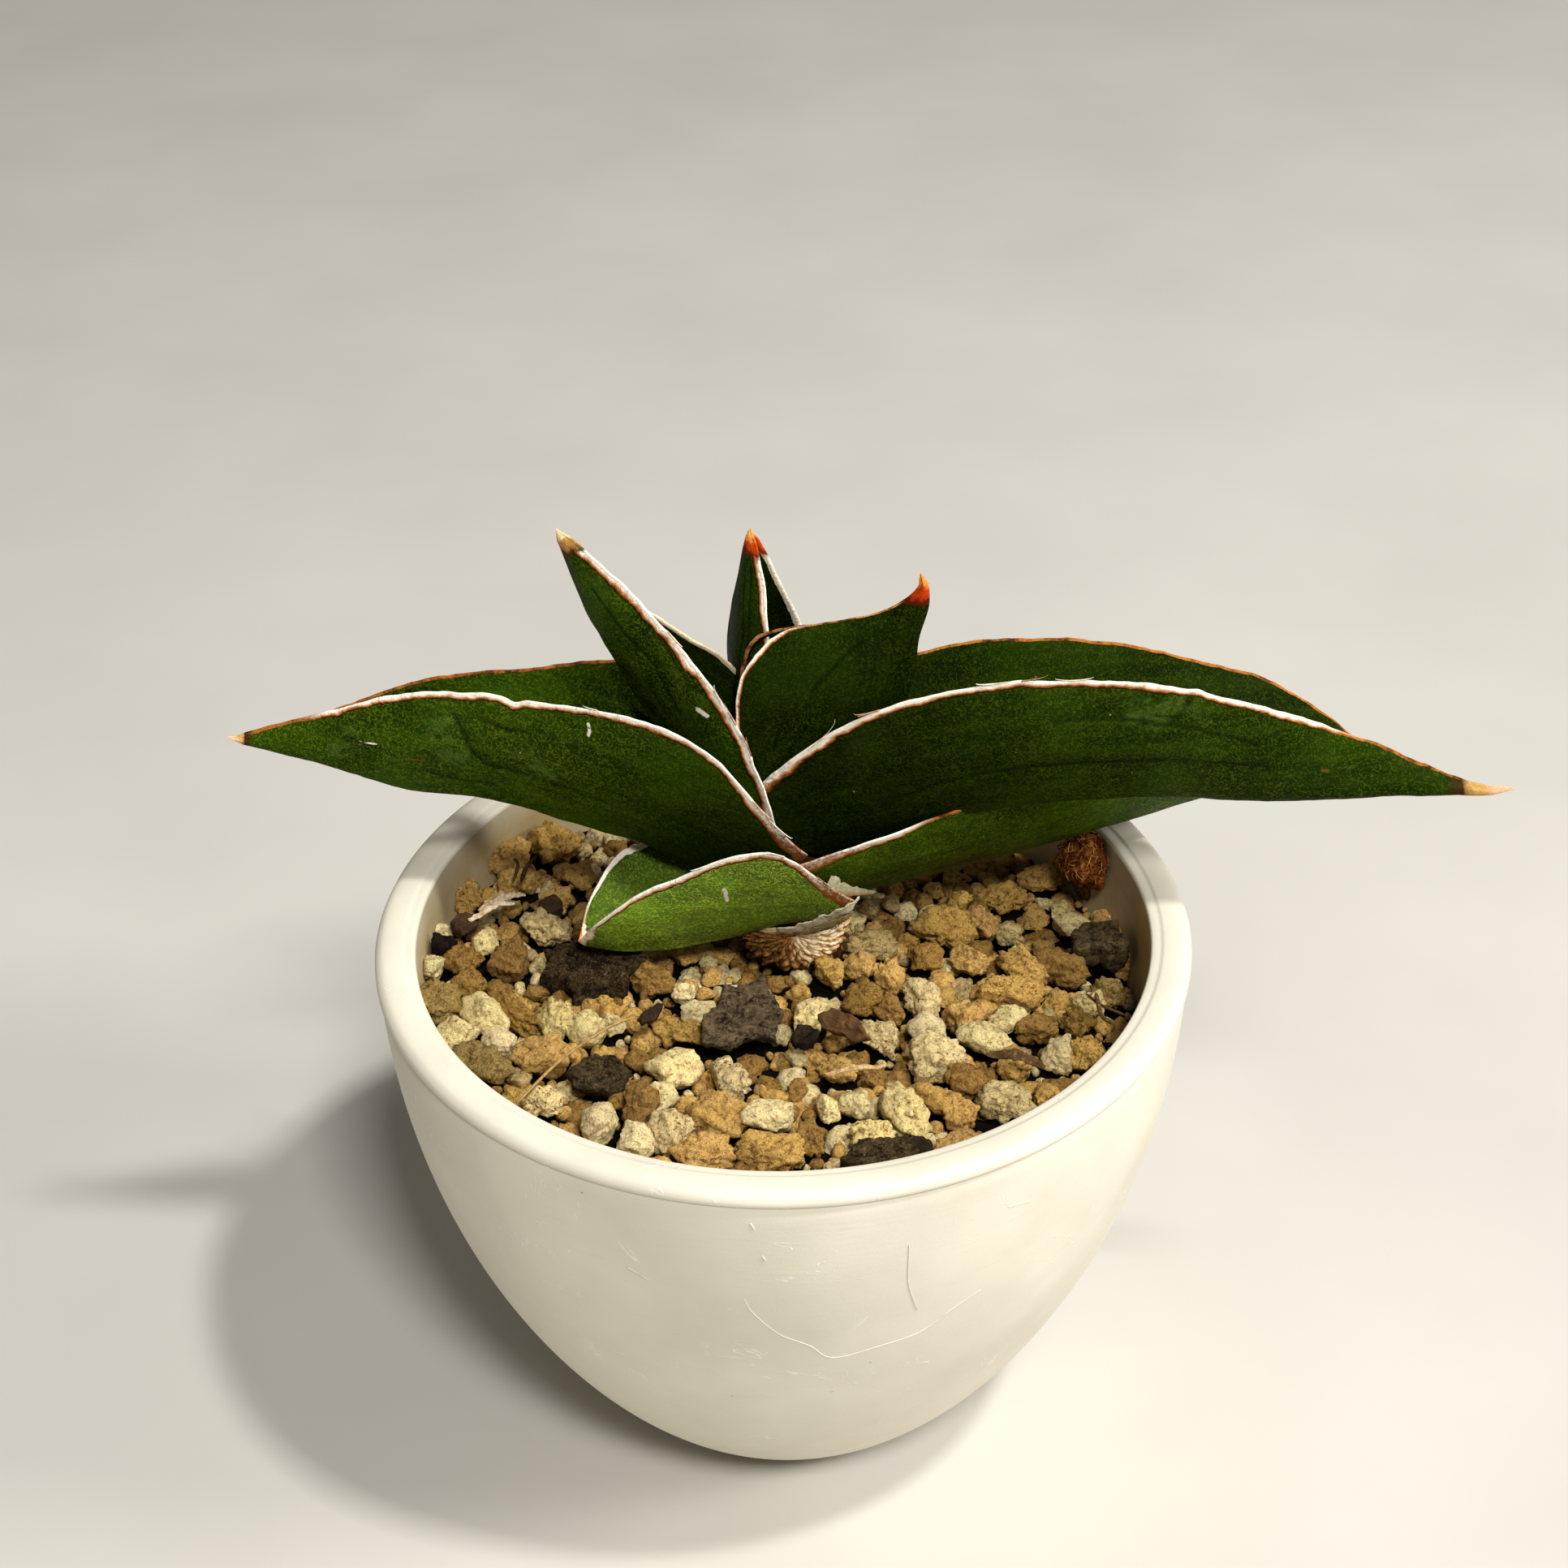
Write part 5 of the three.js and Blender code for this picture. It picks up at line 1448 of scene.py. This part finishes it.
def scuffs():
    """Thin scuffs on the pot's outside."""
    heap = Heap()
    for half, *places in SCUFFS:
        angle, height, _ = curved([(*place, 0) for place in places], 12 * len(places)).T
        radius = bowl("outside", 1 - height / POT["height"]) + 0.02
        turn = np.radians(angle)
        path = np.stack([radius * np.cos(turn), radius * np.sin(turn), height], 1)
        taper = np.sin(np.linspace(0.1, math.pi - 0.1, len(path))) ** 0.5
        width = half * (0.7 + 0.4 * uneven(path, 5, 3)) * taper
        heap.add(*ribbon(path, width, unit(path[len(path) // 2] * [1, 1, 0]), 2, 0.0), shade=0.5)
    heap.piece("scuffs", fibre_material("scuff", ["#c4beac", "#dcd7c8", "#efeadc"], 3), "pot")


# Scene.
# The camera, its heading in radians, and the lights: name, place, size, power and colour. All face one place.
CAMERA = dict(lens=65, sensor=36, place=(0, -0.29212, 0.2932), pitch=56.01, roll=-1.0)
HEADING = -0.0016
LIGHTS = [
    ("key", (0.47, -0.29, 1.22), 0.09, 10.4, (1, 0.985, 0.955)),
    ("front", (0.19, -0.76, 1.06), 0.2, 10.6, (1, 0.985, 0.96)),
    ("side", (1.05, -0.22, 0.64), 0.3, 8, (1, 0.98, 0.95)),
]
LIT = (0, 0, 0.07)
ROOM = dict(colour=(1, 0.94, 0.84, 1), strength=0.15)


def camera():
    data = bpy.data.cameras.new("camera")
    data.lens = CAMERA["lens"]
    data.sensor_width = CAMERA["sensor"]
    data.clip_start = 0.01
    obj = bpy.data.objects.new("camera", data)
    bpy.context.scene.collection.objects.link(obj)
    tilt = Matrix.Rotation(HEADING, 4, "Z") @ Matrix.Rotation(math.radians(CAMERA["pitch"]), 4, "X")
    roll = Matrix.Rotation(math.radians(CAMERA["roll"]), 4, "Z")
    obj.matrix_world = Matrix.Translation(CAMERA["place"]) @ tilt @ roll
    bpy.context.scene.camera = obj


def area_light(name, place, size, power, colour):
    data = bpy.data.lights.new(name, "AREA")
    data.size = size
    data.energy = power
    data.color = colour
    obj = bpy.data.objects.new(name, data)
    obj.location = place
    obj.rotation_euler = (Vector(LIT) - Vector(place)).to_track_quat("-Z", "Y").to_euler()
    bpy.context.scene.collection.objects.link(obj)


def lights():
    """A main light from the front right, one in front, a low soft one at the right, and the room."""
    for light in LIGHTS:
        area_light(*light)
    world = bpy.data.worlds.new("world")
    world.use_nodes = True
    background = world.node_tree.nodes["Background"]
    background.inputs["Color"].default_value = ROOM["colour"]
    background.inputs["Strength"].default_value = ROOM["strength"]
    bpy.context.scene.world = world
    bpy.context.scene.view_settings.view_transform = "Standard"


def floor():
    bpy.ops.mesh.primitive_plane_add(size=8)
    plane = bpy.context.object
    plane.name = "floor"
    plane.data.materials.append(floor_material())


camera()
lights()
floor()
pot()
fines()
gravel()
stem()
for leaf in LEAVES:
    leaf_piece(leaf)
frays()
for chip in CHIPS:
    chip_piece(chip)
flakes()
coir_piece()
litter()
scuffs()
